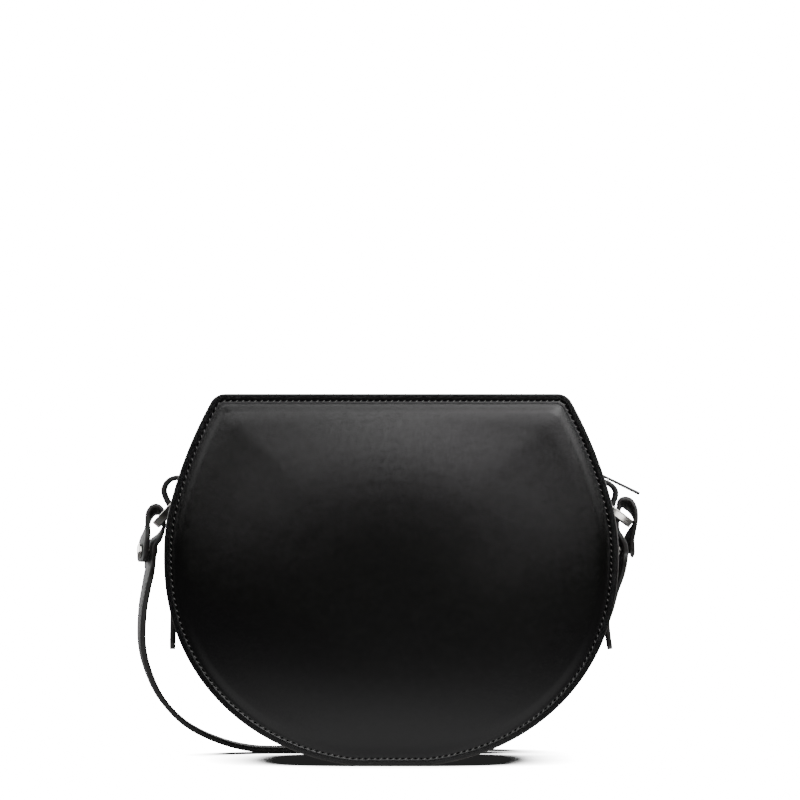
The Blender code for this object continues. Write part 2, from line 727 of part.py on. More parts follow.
def build_pull(parent):
    """A flat plate with a window at one end, whose end bar passes under the slider's bridge."""
    pivot = pull_pivot()
    reach = Vector((math.cos(PULL_DROOP), 0, -math.sin(PULL_DROOP)))
    frame = (pivot, reach, Vector((0, 1, 0)), Vector((math.sin(PULL_DROOP), 0, math.cos(PULL_DROOP))))
    half = PULL_WIDTH / 2
    bar = PULL_THICKNESS / 2
    taper = PULL_WIDTH / 8
    plate = [(-bar, half - taper), (-bar, taper - half), (taper, -half), (PULL_LENGTH - taper, -half),
             (PULL_LENGTH, taper - half), (PULL_LENGTH, half - taper), (PULL_LENGTH - taper, half), (taper, half)]
    sections = [[in_frame(frame, a, b, height) for a, b in plate] for height in (-bar, bar)]
    pull = body("zip_pull", loft(sections), DARK_NICKEL, parent, place=pivot)
    slot = BRIDGE_WIDTH / 2 + FIT + FIT
    window = [(bar, -slot), (bar + PULL_WIDTH * 3 / 4, -slot), (bar + PULL_WIDTH * 3 / 4, slot), (bar, slot)]
    helper("pull_window", loft([[in_frame(frame, a, b, h) for a, b in window]
                                for h in (-PULL_THICKNESS, PULL_THICKNESS)]), pull)
    return pull


def build_stop(parent, stations):
    """The crimped metal stop that holds the two bands together at the far end of the zip."""
    offset = chain_offset()
    last = path_length(stations, offset) - STOP_LENGTH / 4
    low = TOOTH_THICKNESS / 2 + FIT
    high = low + SLIDER_PLATE / 2
    wide = TAPE_SETBACK + BRIDGE_BAR
    waist = TAPE_SETBACK - FIT
    outline = [(-high, -wide), (-high, wide), (-low, wide), (-low, waist), (low, waist), (low, wide),
               (high, wide), (high, -wide), (low, -wide), (low, -waist), (-low, -waist), (-low, -wide)]
    sections = []
    for step in steps_at(stations, offset, (last - STOP_LENGTH, last)):
        places = [(place_on(stations, offset + a, step), y) for a, y in outline]
        sections.append([Vector((point.x, y, point.y)) for point, y in places])
    body("zip_end_stop", loft(sections), NICKEL, parent)


def build_zip(parent):
    upper = right_upper() + mirrored(right_upper())
    for side, name in ((-1, "zip_tape_front"), (1, "zip_tape_back")):
        body(name, tape_mesh(upper, side), TAPE_CLOTH, parent)
    build_pull(build_slider(parent))
    build_stop(parent, upper)


# Side tabs and rings


def web_x(z):
    """Half width of the bag at the gusset's outer face, at a height."""
    points = set_in(right_lower() + right_upper(), SEAM_WIDTH)
    for low, high in zip(points, points[1:]):
        if low.y <= z <= high.y:
            return low.x + (high.x - low.x) * (z - low.y) / (high.y - low.y)
    return points[0].x


def build_tab(sign, name, loop_shares, tail_shares, parent):
    """A strip that leaves the seam, loops round the ring's bar, is sewn down the gusset and hangs free."""
    foot = seam_z() - TAB_LOOP_HEIGHT - GUSSET_LEATHER
    seat = FIT + TAB_THICKNESS / 2
    rows = []
    for rise, out in loop_shares:
        z = foot + TAB_LOOP_HEIGHT * rise
        rows.append((web_x(z) + TAB_LOOP_REACH * out, z))
    for i in range(SEWN_STEPS + 1):
        z = foot - TAB_SEWN_LENGTH * i / SEWN_STEPS
        rows.append((web_x(z) + seat / math.cos(SHOULDER_TURN), z))
    sewn_x, sewn_z = rows[-1]
    rows += [(sewn_x + TAB_TAIL * out, sewn_z - TAB_TAIL * fall) for fall, out in tail_shares]
    points = [Vector((sign * x, 0, z)) for x, z in spline(rows, 2)]
    strip = ribbon(points, [TAB_THICKNESS] * len(points), STRAP_WIDTH)
    body(name, loft(strip), STRAP_LEATHER, parent, rounded=True)


def ring_hinge(sign):
    """Middle of the ring's inner bar, seated off the gusset below the seam."""
    seat, fall = (RIGHT_RING_SEAT, RIGHT_RING_FALL) if sign > 0 else (LEFT_RING_SEAT, LEFT_RING_FALL)
    z = seam_z() - fall
    return Vector((sign * (web_x(z) + seat), 0, z))


def ring_reach(sign):
    """Direction from a ring's inner bar to its outer bar."""
    droop = RIGHT_RING_DROOP if sign > 0 else LEFT_RING_DROOP
    return Vector((sign * math.cos(droop), 0, -math.sin(droop)))


def build_ring(sign, name, parent):
    half_width = (STRAP_WIDTH + RING_SLACK + RING_BAR) / 2
    sections = band_loop(
        ring_hinge(sign) + ring_reach(sign) * RING_SPAN / 2, (0, 1, 0), ring_reach(sign),
        half_width, RING_SPAN / 2, RING_CORNER, bar_section(RING_BAR / 2, RING_DEPTH / 2, RING_CHAMFER),
    )
    body(name, loft(sections, closed=True), NICKEL, parent, place=ring_hinge(sign), rounded=True)


# Straps


def loop_rows(sign, table, leans, twists):
    """Rows of place, thickness and twist for the loop that a strap makes round its ring."""
    bar = ring_hinge(sign) + ring_reach(sign) * RING_SPAN
    level = table[-1][0]
    rows = []
    for (out, rise, share), lean, twist in zip(table, leans, twists):
        y = sign * (out - level) * STRAP_LOOP * math.tan(STRAP_TWIST * lean)
        rows.append((bar.x + sign * out * STRAP_LOOP, y, bar.z + rise * STRAP_LOOP,
                     share * STRAP_THICKNESS, STRAP_TWIST * twist))
    return rows


def route_rows(leave, table, twists):
    """Rows for the free run of a strap behind the bag, from the height at which it leaves its loop."""
    twists = list(twists) + [0] * (len(table) - len(twists))
    return [
        (x * HALF_WIDTH, y * HALF_DEPTH, STRAP_THICKNESS / 2 + z * leave, STRAP_THICKNESS, twist * STRAP_TWIST)
        for (x, y, z), twist in zip(table, twists)
    ]


def lane_y():
    return LONG_ROUTE_SHARES[-1][1] * HALF_DEPTH


def buckle_hinge():
    """Middle of the bar that the short strap is folded round."""
    return Vector((BUCKLE_X, lane_y(), SKIVED + FIT + BUCKLE_BAR))


def keeper_lift():
    """How far the keeper raises the short strap off the floor."""
    return KEEPER_LEATHER + FIT


def long_end_rows():
    """The punched end of the long strap: along the floor, up through the frame and down to its tip."""
    hinge = buckle_hinge()
    half = STRAP_END_THICKNESS / 2
    over = hinge.z + BUCKLE_BAR + FIT + SKIVED + FIT + half
    rest = keeper_lift() + STRAP_THICKNESS + FIT + half
    length = BUCKLE_LENGTH
    shares = (
        (-1.50, half, 1.0), (-1.19, half, 1.0), (-0.94, half, 1.1), (-0.66, over, 0.40), (-0.34, over, 0.76),
        (0.0, over, 1.0), (0.34, over, 0.88), (0.70, rest, 0.97), (1.03, rest, 0.97),
        (KEEPER_REACH / length, rest, 1.0), (1.75, rest, 1.0), (STRAP_TIP_REACH / length, rest, 0.93),
    )
    return [(hinge.x + reach * length, hinge.y, height * share, STRAP_END_THICKNESS, 0)
            for reach, height, share in shares]


def short_end_rows():
    """The buckle end of the short strap, from the floor run round the bar and back."""
    hinge = buckle_hinge()
    lift = keeper_lift()
    full = STRAP_THICKNESS
    half = SKIVED / 2
    length = BUCKLE_LENGTH
    low_shares = (
        (2.75, full / 2 + lift / 4, full), (2.25, full / 2 + lift * 2 / 3, full), (1.75, full / 2 + lift, full),
        (KEEPER_REACH / length, full / 2 + lift, full), (1.03, half * 2 + lift * 2 / 3, (full + SKIVED) / 2),
        (0.72, half + lift * 2 / 5, SKIVED), (0.42, half, SKIVED), (0.15, half, SKIVED),
    )
    rows = [(hinge.x + reach * length, hinge.y, z, thickness, 0) for reach, z, thickness in low_shares]
    radius = BUCKLE_BAR + FIT + half
    for turn in map(math.radians, FOLD_TURNS):
        rows.append((hinge.x + radius * math.cos(turn), hinge.y, hinge.z + radius * math.sin(turn), SKIVED, 0))
    top = hinge.z + radius
    laid = SKIVED + FIT + half
    back_shares = ((0.34, (top + laid) / 2), (0.66, laid + lift / 4), (1, laid + lift * 2 / 5 + FIT))
    return rows + [(hinge.x + FOLD_LENGTH * share, hinge.y, z, SKIVED, 0) for share, z in back_shares]


def strap_sections(rows, tip=False):
    """A strap through rows of place, thickness and twist. With tip, its last part narrows to a point."""
    line = spline(rows, 2)
    points = [Vector((row[0], row[1], max(row[2], row[3] / 2))) for row in line]
    sections = ribbon(points, [row[3] for row in line], STRAP_WIDTH, [row[4] for row in line])
    if tip:
        for section, share in zip(sections[-len(TIP_SHARES):], TIP_SHARES):
            middle = (section[2] + section[5]) / 2
            for vertex in section:
                vertex.y = middle.y + (vertex.y - middle.y) * share
    return sections


def rivet_frame(sign):
    """Middle of the rivet, the way its head faces, and how far out its head and its cap are seated."""
    bar = ring_hinge(sign) + ring_reach(sign) * RING_SPAN
    if sign < 0:
        turn = STRAP_TWIST * LEFT_LEAN_SHARES[0]
        table = LEFT_LOOP_SHARES
        layers = (table[1], table[2], table[13])
    else:
        turn = STRAP_TWIST * RIGHT_LEAN_SHARES[0]
        table = RIGHT_LOOP_SHARES
        layers = (table[0], table[1], table[15])
    outer = (layers[0][0] + layers[1][0]) / 2
    out = (outer + layers[2][0]) / 2
    rise = (layers[0][1] + layers[1][1]) / 2
    y = sign * (out - table[-1][0]) * STRAP_LOOP * math.tan(turn)
    middle = Vector((bar.x + sign * out * STRAP_LOOP, y, bar.z + rise * STRAP_LOOP))
    spread = (outer - layers[2][0]) / 2 * STRAP_LOOP / math.cos(turn)
    axis = Vector((math.cos(turn), math.sin(turn), 0)) * sign
    return middle, axis, spread + STRAP_THICKNESS / 2 + FIT


def build_rivet(sign, name, strap, parent):
    middle, axis, seat = rivet_frame(sign)
    foot = seat + FIT
    head = [(RIVET_HEAD_RADIUS * a, seat + RIVET_HEAD_RISE * b) for a, b in HEAD_SHARES]
    cap = [(RIVET_CAP_RADIUS * a, -foot - RIVET_HEAD_RISE * b) for a, b in CAP_SHARES]
    profile = head + [(RIVET_POST_RADIUS, seat), (RIVET_POST_RADIUS, -foot)] + cap
    body(name, loft(turned(middle, axis, profile)), NICKEL, parent, place=middle)
    bore = RIVET_POST_RADIUS + FIT
    helper(name + "_hole", loft(turned(middle, axis, [(bore, -foot - FIT), (bore, seat + FIT)], BORE_SIDES)), strap)


def build_straps(parent):
    left = loop_rows(-1, LEFT_LOOP_SHARES, LEFT_LEAN_SHARES, LEFT_TWIST_SHARES)
    rows = left + route_rows(left[-1][2], LONG_ROUTE_SHARES, LONG_TWIST_SHARES) + long_end_rows()
    long_strap = body("strap_long", loft(strap_sections(rows, tip=True)), STRAP_LEATHER, parent, rounded=True)
    build_rivet(-1, "rivet_left", long_strap, parent)
    hinge = buckle_hinge()
    holes = bmesh.new()
    for step in HOLE_STEPS:
        x = hinge.x - HOLE_SETBACK + HOLE_PITCH * step
        straight = (HOLE_LENGTH - HOLE_WIDTH) / 2
        outline = []
        for i in range(BAR_SIDES):
            turn = 2 * math.pi * (i + 1 / 2) / BAR_SIDES
            shift = straight if math.cos(turn) > 0 else -straight
            outline.append((x + shift + HOLE_WIDTH / 2 * math.cos(turn), hinge.y + HOLE_WIDTH / 2 * math.sin(turn)))
        add_loft(holes, [[Vector((a, b, z)) for a, b in outline] for z in (-FIT, hinge.z * 4)])
    helper("strap_holes", holes, long_strap)
    right = loop_rows(1, RIGHT_LOOP_SHARES, RIGHT_LEAN_SHARES, RIGHT_TWIST_SHARES)
    rows = right + route_rows(right[-1][2], SHORT_ROUTE_SHARES, SHORT_TWIST_SHARES) + short_end_rows()
    short_strap = body("strap_short", loft(strap_sections(rows)), STRAP_LEATHER, parent, rounded=True)
    build_rivet(1, "rivet_right", short_strap, parent)
    slot = PRONG_WIDTH / 2 + FIT
    outer = BUCKLE_BAR + FIT + SKIVED + FIT
    helper("prong_slot", loft(box_sections(
        (hinge.x - outer, hinge.y - slot, -FIT), (hinge.x + outer, hinge.y + slot, hinge.z + outer),
    )), short_strap)


def build_buckle(parent):
    hinge = buckle_hinge()
    reach = Vector((-math.cos(BUCKLE_TILT), 0, math.sin(BUCKLE_TILT)))
    sides = [2 * math.pi * i / BAR_SIDES for i in range(BAR_SIDES)]
    round_bar = [(BUCKLE_BAR * math.cos(turn), BUCKLE_BAR * math.sin(turn)) for turn in sides]
    half_width = (STRAP_WIDTH + RING_SLACK) / 2 + BUCKLE_BAR
    frame = band_loop(hinge + reach * BUCKLE_LENGTH / 2, (0, 1, 0), reach, half_width, BUCKLE_LENGTH / 2,
                      BUCKLE_BAR * 2, round_bar)
    body("buckle_frame", loft(frame, closed=True), NICKEL, parent, place=hinge, rounded=True)
    radius = BUCKLE_BAR + FIT + PRONG_THICKNESS / 2
    far_bar = hinge + reach * BUCKLE_LENGTH
    tip = far_bar + Vector((-PRONG_WIDTH, 0, BUCKLE_BAR + FIT + PRONG_THICKNESS))
    points = [hinge + radius * Vector((math.cos(turn), 0, math.sin(turn))) for turn in map(math.radians, PRONG_TURNS)]
    points += [points[-1].lerp(tip, 1 / 2), tip]
    prong = ribbon(points, [PRONG_THICKNESS] * len(points), PRONG_WIDTH)
    body("buckle_prong", loft(prong), NICKEL, parent, place=hinge)
    low = KEEPER_LEATHER
    high = keeper_lift() + STRAP_THICKNESS + FIT + STRAP_END_THICKNESS + FIT
    half_leather = KEEPER_LEATHER / 2
    centre = Vector((hinge.x + KEEPER_REACH, hinge.y, (low + high) / 2))
    keeper = band_loop(
        centre, (0, 1, 0), (0, 0, 1), STRAP_WIDTH / 2 + FIT + half_leather, (high - low) / 2 + half_leather,
        KEEPER_LEATHER, bar_section(half_leather, KEEPER_WIDTH / 2, RING_CHAMFER),
    )
    body("buckle_keeper", loft(keeper, closed=True), STRAP_LEATHER, parent, rounded=True)


def centre_on_floor(root):
    """Moves everything so that the origin is the middle of the floor that the object covers."""
    bpy.context.view_layer.update()
    corners = [obj.matrix_world @ vertex.co for obj in bpy.data.objects
               if obj.type == "MESH" and not obj.hide_render for vertex in obj.data.vertices]
    for axis in range(2):
        root.location[axis] = -(min(c[axis] for c in corners) + max(c[axis] for c in corners)) / 2


def main():
    empty_scene()
    root = carrier("bag_origin", (0, 0, 0))
    for side, name in ((-1, "front"), (1, "back")):
        build_end(side, name, root)
    build_gussets(root)
    build_zip(root)
    build_tab(-1, "side_tab_left", LEFT_TAB_SHARES, LEFT_TAIL_SHARES, root)
    build_tab(1, "side_tab_right", RIGHT_TAB_SHARES, RIGHT_TAIL_SHARES, root)
    for sign, name in ((-1, "ring_left"), (1, "ring_right")):
        build_ring(sign, name, root)
    build_straps(root)
    build_buckle(root)
    centre_on_floor(root)


main()
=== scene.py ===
"""Dresses the half moon bag: moulded leather panels, sewn straps, zip, rings and buckle in studio light.

Metres, z up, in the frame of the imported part. Each sub-assembly is a class whose fields are its sizes in
the bag's own coordinates, where the middle plane of the bag is y = 0 and the floor is z = 0.
"""

import logging
import math
from dataclasses import dataclass, field, replace
from enum import Enum
from typing import Sequence

import bmesh
import bpy
from mathutils import Matrix, Vector


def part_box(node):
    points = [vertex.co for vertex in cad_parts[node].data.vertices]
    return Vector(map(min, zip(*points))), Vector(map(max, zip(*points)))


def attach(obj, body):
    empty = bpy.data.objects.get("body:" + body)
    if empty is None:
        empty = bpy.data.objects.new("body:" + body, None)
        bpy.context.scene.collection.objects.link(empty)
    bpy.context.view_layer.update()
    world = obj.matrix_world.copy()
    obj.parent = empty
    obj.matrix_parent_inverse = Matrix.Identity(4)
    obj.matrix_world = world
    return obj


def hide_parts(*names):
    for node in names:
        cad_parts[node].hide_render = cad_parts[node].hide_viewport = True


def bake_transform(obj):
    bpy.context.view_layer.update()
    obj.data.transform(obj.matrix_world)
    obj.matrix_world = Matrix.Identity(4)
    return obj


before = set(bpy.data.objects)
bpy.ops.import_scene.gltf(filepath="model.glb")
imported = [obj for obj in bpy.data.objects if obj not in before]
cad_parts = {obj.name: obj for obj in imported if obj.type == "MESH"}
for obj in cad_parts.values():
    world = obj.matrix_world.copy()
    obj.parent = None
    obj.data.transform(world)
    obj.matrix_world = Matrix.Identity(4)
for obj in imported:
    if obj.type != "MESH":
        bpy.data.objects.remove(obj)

LOG = logging.getLogger("half_moon_bag")
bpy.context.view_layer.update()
Pair = tuple[float, float]
Row = tuple[float, ...]
Station = tuple[Vector, Vector]          # a place and a direction there
Spot = tuple[Vector, Vector, Vector]     # a stitch's place, the direction along its row, the surface's normal
WELD = 0.00001
FLAT_DEGREES = 2
SHARP_DEGREES = 28


class Body(Enum):
    """The moving bodies that pieces ride on."""

    BAG = "bag"
    SLIDER = "slider"
    PULL = "pull"
    LEFT_RING = "left_ring"
    RIGHT_RING = "right_ring"
    PRONG = "prong"


class Side(Enum):
    """The two ends of the bag, as the sign of y."""

    FRONT = -1
    BACK = 1


def bag_shift() -> Vector:
    """Works out where the bag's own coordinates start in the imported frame.

    Returns:
        The place of the bag's middle plane on the floor, from the boxes of its two panels.
    """
    front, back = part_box("front_panel"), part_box("back_panel")
    return Vector(((front[0][0] + front[1][0]) / 2, (front[0][1] + back[1][1]) / 2, 0))


SHIFT = bag_shift()


# Finishes


class NodePlan:
    """A material's node tree with short calls to add and join its nodes."""

    def __init__(self, name: str) -> None:
        """Makes the material with an empty Principled surface.

        Args:
            name: The material's name.
        """
        self.material = bpy.data.materials.new(name)
        self.material.use_nodes = True
        self.tree = self.material.node_tree
        self.surface = self.tree.nodes["Principled BSDF"]

    def add(self, kind: str, **settings: object) -> bpy.types.Node:
        """Adds one node.

        Args:
            kind: The node's Blender type.
            **settings: Attributes, or input values where the node has an input of that name.

        Returns:
            The new node.
        """
        node = self.tree.nodes.new(kind)
        for key, value in settings.items():
            socket = key.replace("_", " ").title()
            if hasattr(node, key):
                setattr(node, key, value)
            else:
                node.inputs[socket].default_value = value
        return node

    def join(self, source: bpy.types.NodeSocket, target: bpy.types.NodeSocket) -> None:
        """Links two sockets."""
        self.tree.links.new(source, target)

    def place(self) -> bpy.types.NodeSocket:
        """Gives the Object coordinates."""
        return self.add("ShaderNodeTexCoord").outputs["Object"]

    def own(self, name: str) -> bpy.types.NodeSocket:
        """Gives a number kept on the mesh under a name."""
        return self.add("ShaderNodeAttribute", attribute_name=name).outputs["Fac"]

    def noise(self, scale: float, detail: float = 2.0, stretch: Row = (1, 1, 1)) -> bpy.types.NodeSocket:
        """Adds noise on Object coordinates.

        Args:
            scale: Cells to a metre.
            detail: Octaves.
            stretch: Scale along each axis.

        Returns:
            The noise's value.
        """
        mapping = self.add("ShaderNodeMapping")
        mapping.inputs["Scale"].default_value = stretch
        self.join(self.place(), mapping.inputs["Vector"])
        node = self.add("ShaderNodeTexNoise", scale=scale, detail=detail)
        self.join(mapping.outputs["Vector"], node.inputs["Vector"])
        return node.outputs["Fac"]

    def cells(self, scale: float) -> bpy.types.NodeSocket:
        """Adds a pattern of cells.

        Args:
            scale: Cells to a metre.

        Returns:
            The distance to the nearest cell edge.
        """
        node = self.add("ShaderNodeTexVoronoi", feature="DISTANCE_TO_EDGE", scale=scale)
        self.join(self.place(), node.inputs["Vector"])
        return node.outputs["Distance"]

    def between(self, source: bpy.types.NodeSocket, low: float, high: float,
                start: float = 0.0, end: float = 1.0) -> bpy.types.NodeSocket:
        """Maps a value from one span to another.

        Args:
            source: The value.
            low: Result at start.
            high: Result at end.
            start: Lower end of the value's span.
            end: Upper end of the value's span.

        Returns:
            The mapped value.
        """
        node = self.add("ShaderNodeMapRange")
        for name, value in (("From Min", start), ("From Max", end), ("To Min", low), ("To Max", high)):
            node.inputs[name].default_value = value
        self.join(source, node.inputs["Value"])
        return node.outputs["Result"]

    def sum(self, first: bpy.types.NodeSocket, second: bpy.types.NodeSocket,
            operation: str = "ADD") -> bpy.types.NodeSocket:
        """Combines two values.

        Args:
            first: One value.
            second: The other.
            operation: The Math node's operation.

        Returns:
            The result.
        """
        node = self.add("ShaderNodeMath", operation=operation)
        self.join(first, node.inputs[0])
        self.join(second, node.inputs[1])
        return node.outputs["Value"]

    def tint(self, mask: bpy.types.NodeSocket, low: Row, high: Row) -> None:
        """Colours the surface between two colours by a mask.

        Args:
            mask: The mask.
            low: Colour at 0.
            high: Colour at 1.
        """
        node = self.add("ShaderNodeMix", data_type="RGBA")
        colours = [socket for socket in node.inputs if socket.type == "RGBA"]
        colours[0].default_value = (*low, 1)
        colours[1].default_value = (*high, 1)
        self.join(mask, node.inputs["Factor"])
        result = next(socket for socket in node.outputs if socket.type == "RGBA")
        self.join(result, self.surface.inputs["Base Color"])

    def rough(self, mask: bpy.types.NodeSocket, low: float, high: float) -> None:
        """Varies the roughness between two values by a mask."""
        self.join(self.between(mask, low, high), self.surface.inputs["Roughness"])

    def relief(self, height: bpy.types.NodeSocket, depth: float) -> None:
        """Raises the surface by a height map, over any relief already there.

        Args:
            height: The height map.
            depth: Its depth in metres.
        """
        node = self.add("ShaderNodeBump", strength=1.0, distance=depth)
        self.join(height, node.inputs["Height"])
        before = self.surface.inputs["Normal"].links
        if before:
            self.join(before[0].from_socket, node.inputs["Normal"])
        self.join(node.outputs["Normal"], self.surface.inputs["Normal"])


@dataclass(frozen=True)
class Finish:
    """What every finish has: a name, the record's slot, a colour and a roughness."""

    name: str
    slot: str
    colour: Row
    roughness: float

    def material(self) -> bpy.types.Material:
        """Gives the finish's material, made once.

        Returns:
            The material.
        """
        made = bpy.data.materials.get(self.name)
        if made is None:
            plan = NodePlan(self.name)
            plan.surface.inputs["Roughness"].default_value = self.roughness
            self.dress(plan)
            made = plan.material
        return made

    def shade(self, factor: float) -> Row:
        """The colour times a factor."""
        return tuple(part * factor for part in self.colour)

    def dress(self, plan: NodePlan) -> None:
        """Adds this finish's own nodes."""
        plan.tint(plan.noise(60), self.shade(0.85), self.shade(1.15))


@dataclass(frozen=True)
class Leather(Finish):
    """Smooth dyed leather: fine pores, slow changes of tone and sheen, creases where a strip bends."""

    pores: float = 2400.0
    pore_depth: float = 0.000012
    creased: bool = False
    swell_depth: float = 0.00003
    grain_depth: float = 0.000007
    crease_depth: float = 0.00022

    def dress(self, plan: NodePlan) -> None:
        """Adds pores, tone and, on a strip, cross creases that follow its bends.

        Args:
            plan: The material's nodes.
        """
        slow = plan.noise(28, 3)
        fine = plan.noise(self.pores / 3, 3)
        plan.tint(slow, self.shade(0.8), self.shade(1.25))
        plan.rough(plan.sum(slow, fine, "MULTIPLY"), self.roughness * 0.86, self.roughness * 1.30)
        plan.relief(plan.between(plan.cells(self.pores), 0, 1, 0, 0.25), self.pore_depth)
        plan.relief(plan.noise(120, 2), self.swell_depth)
        plan.relief(plan.noise(700, 3), self.grain_depth)
        if self.creased:
            ridge = plan.add("ShaderNodeTexNoise", scale=2.4, detail=3.0)
            spread = plan.add("ShaderNodeCombineXYZ")
            plan.join(plan.between(plan.own("along"), 0, 900), spread.inputs["X"])
            plan.join(plan.between(plan.own("around"), 0, 60), spread.inputs["Y"])
            plan.join(spread.outputs["Vector"], ridge.inputs["Vector"])
            bend = plan.sum(ridge.outputs["Fac"], plan.own("bend"), "MULTIPLY")
            plan.relief(bend, self.crease_depth)
        plan.surface.inputs["Specular IOR Level"].default_value = 0.5


@dataclass(frozen=True)
class PaintedEdge(Finish):
    """Painted leather edge: several coats, slightly wavy, worn paler in places."""

    coat_depth: float = 0.00005

    def dress(self, plan: NodePlan) -> None:
        """Adds the wave of the coats and a little wear.

        Args:
            plan: The material's nodes.
        """
        wear = plan.noise(220, 4)
        plan.tint(plan.between(wear, 0, 1, 0.45, 0.8), self.shade(0.8), self.shade(1.7))
        plan.rough(wear, self.roughness * 0.85, self.roughness * 1.2)
        plan.relief(plan.noise(420, 2), self.coat_depth)


@dataclass(frozen=True)
class Thread(Finish):
    """Waxed twisted thread."""

    rib_depth: float = 0.00003

    def dress(self, plan: NodePlan) -> None:
        """Adds the twist as fine ribs.

        Args:
            plan: The material's nodes.
        """
        ribs = plan.noise(5200, 1, (1, 1, 0.35))
        plan.tint(ribs, self.shade(0.55), self.shade(1.4))
        plan.relief(ribs, self.rib_depth)


@dataclass(frozen=True)
class Metal(Finish):
    """Plated metal: polished, with hairline scratches and a faint haze."""

    scratch: float = 0.05
    line_depth: float = 0.000001

    def dress(self, plan: NodePlan) -> None:
        """Adds hairlines to the roughness and a haze to the colour.

        Args:
            plan: The material's nodes.
        """
        plan.surface.inputs["Metallic"].default_value = 1.0
        lines = plan.noise(900, 3, (1, 0.12, 1))
        haze = plan.noise(90, 2)
        plan.tint(haze, self.shade(0.93), self.shade(1.05))
        plan.rough(lines, self.roughness, self.roughness + self.scratch)
        plan.relief(lines, self.line_depth)


@dataclass(frozen=True)
class Cloth(Finish):
    """Woven cloth, with threads along the axes."""

    pitch: float = 0.0006
    thread_depth: float = 0.0001

    def dress(self, plan: NodePlan) -> None:
        """Adds the weave on Object coordinates.

        Args:
            plan: The material's nodes.
        """
        waves = []
        for axis in ("X", "Y", "Z"):
            wave = plan.add("ShaderNodeTexWave", bands_direction=axis, scale=math.pi / 10 / self.pitch)
            plan.join(plan.place(), wave.inputs["Vector"])
            waves.append(wave.outputs["Fac"])
        weave = plan.sum(plan.sum(waves[0], waves[1], "MULTIPLY"), waves[2], "MAXIMUM")
        plan.tint(weave, self.shade(0.6), self.shade(1.3))
        plan.relief(weave, self.thread_depth)
        plan.surface.inputs["Sheen Weight"].default_value = 0.2


@dataclass(frozen=True)
class Fibreboard(Finish):
    """Pressed fibre board."""

    fleck_depth: float = 0.0001

    def dress(self, plan: NodePlan) -> None:
        """Adds flecks and a rough surface.

        Args:
            plan: The material's nodes.
        """
        flecks = plan.noise(1500, 4)
        plan.tint(flecks, self.shade(0.7), self.shade(1.2))
        plan.relief(flecks, self.fleck_depth)


@dataclass(frozen=True)
class HoleShade(Finish):
    """Painted shade of a stitch hole: a near-black matte colour that stands in for the shade inside the hole.
    """

    def dress(self, plan: NodePlan) -> None:
        """Takes the gloss off."""
        plan.tint(plan.noise(900), self.shade(0.9), self.shade(1.1))
        plan.surface.inputs["Specular IOR Level"].default_value = 0.0


@dataclass(frozen=True)
class Ground(Finish):
    """Pale paper floor.

    Where the camera looks at it, it glows overexposed white, but for a painted contact shadow that darkens
    with occlusion.
    Where the bag mirrors it, its colour is a painted pool of light: bright only near the bag, nearly black
    beyond.
    """

    glow: float = 20.0
    near: float = 0.10
    far: float = 0.31
    shadow_reach: float = 0.045
    dark: float = 0.30
    clear: float = 0.75

    def dress(self, plan: NodePlan) -> None:
        """Mixes what the camera sees of the paper with what the bag mirrors of it.

        Args:
            plan: The material's nodes.
        """
        # Painted pool of light: the paper's colour falls from full to nearly black between near and far from
        # the middle.
        reach = plan.add("ShaderNodeVectorMath", operation="LENGTH")
        plan.join(plan.place(), reach.inputs[0])
        painted_light_pool = plan.between(reach.outputs["Value"], 0, 1, self.near, self.far)
        plan.tint(painted_light_pool, self.shade(1.0), self.shade(0.02))
        # Painted contact shadow: for the camera the paper is an emission whose strength drops with ambient
        # occlusion.
        painted_shadow_ao = plan.add("ShaderNodeAmbientOcclusion", distance=self.shadow_reach, samples=64)
        seen, whole = plan.add("ShaderNodeEmission"), plan.add("ShaderNodeMixShader")
        strength = plan.between(painted_shadow_ao.outputs["AO"], 0.02, self.glow, self.dark, self.clear)
        plan.join(strength, seen.inputs["Strength"])
        path, out = plan.add("ShaderNodeLightPath"), plan.tree.nodes["Material Output"]
        plan.join(path.outputs["Is Camera Ray"], whole.inputs["Fac"])
        plan.join(plan.surface.outputs["BSDF"], whole.inputs[1])
        plan.join(seen.outputs["Emission"], whole.inputs[2])
        plan.join(whole.outputs["Shader"], out.inputs["Surface"])


PANEL_LEATHER = Leather("panel_leather", "leather", (0.0008, 0.0008, 0.0009), 0.15)
GUSSET_LEATHER = Leather("gusset_leather", "gusset_leather", (0.0014, 0.0014, 0.0014), 0.32, 2200.0)
STRAP_LEATHER = Leather("strap_leather", "strap_leather", (0.0016, 0.0015, 0.0014), 0.27, 2600.0,
                        creased=True)
EDGE_PAINT = PaintedEdge("edge_paint", "leather", (0.020, 0.0175, 0.016), 0.34)
STRAP_EDGE_PAINT = PaintedEdge("strap_edge_paint", "strap_leather", (0.010, 0.0092, 0.0086), 0.34)
SEAM_THREAD = Thread("seam_thread", "leather", (0.085, 0.082, 0.08), 0.5)
STRAP_THREAD = Thread("strap_thread", "strap_leather", (0.02, 0.019, 0.018), 0.5)
# Painted shade: a near-black matte colour for the insides of the stitch holes.
PAINTED_HOLE_SHADE = HoleShade("painted_hole_shade", "leather", (0.0002, 0.0002, 0.0002), 1.0)
NICKEL = Metal("polished_nickel", "nickel", (0.80, 0.775, 0.73), 0.06)
DARK_NICKEL = Metal("dark_nickel", "dark_nickel", (0.10, 0.10, 0.105), 0.26)
TAPE_CLOTH = Cloth("zip_tape_cloth", "zip_tape", (0.010, 0.010, 0.011), 0.8)
LINING_CLOTH = Cloth("lining_cloth", "lining", (0.03, 0.03, 0.032), 0.85, 0.0008)
BOARD = Fibreboard("fibre_board", "board", (0.30, 0.24, 0.16), 0.9)
FLOOR = Ground("floor_paper", "", (0.40, 0.40, 0.40), 0.9)


# Shapes


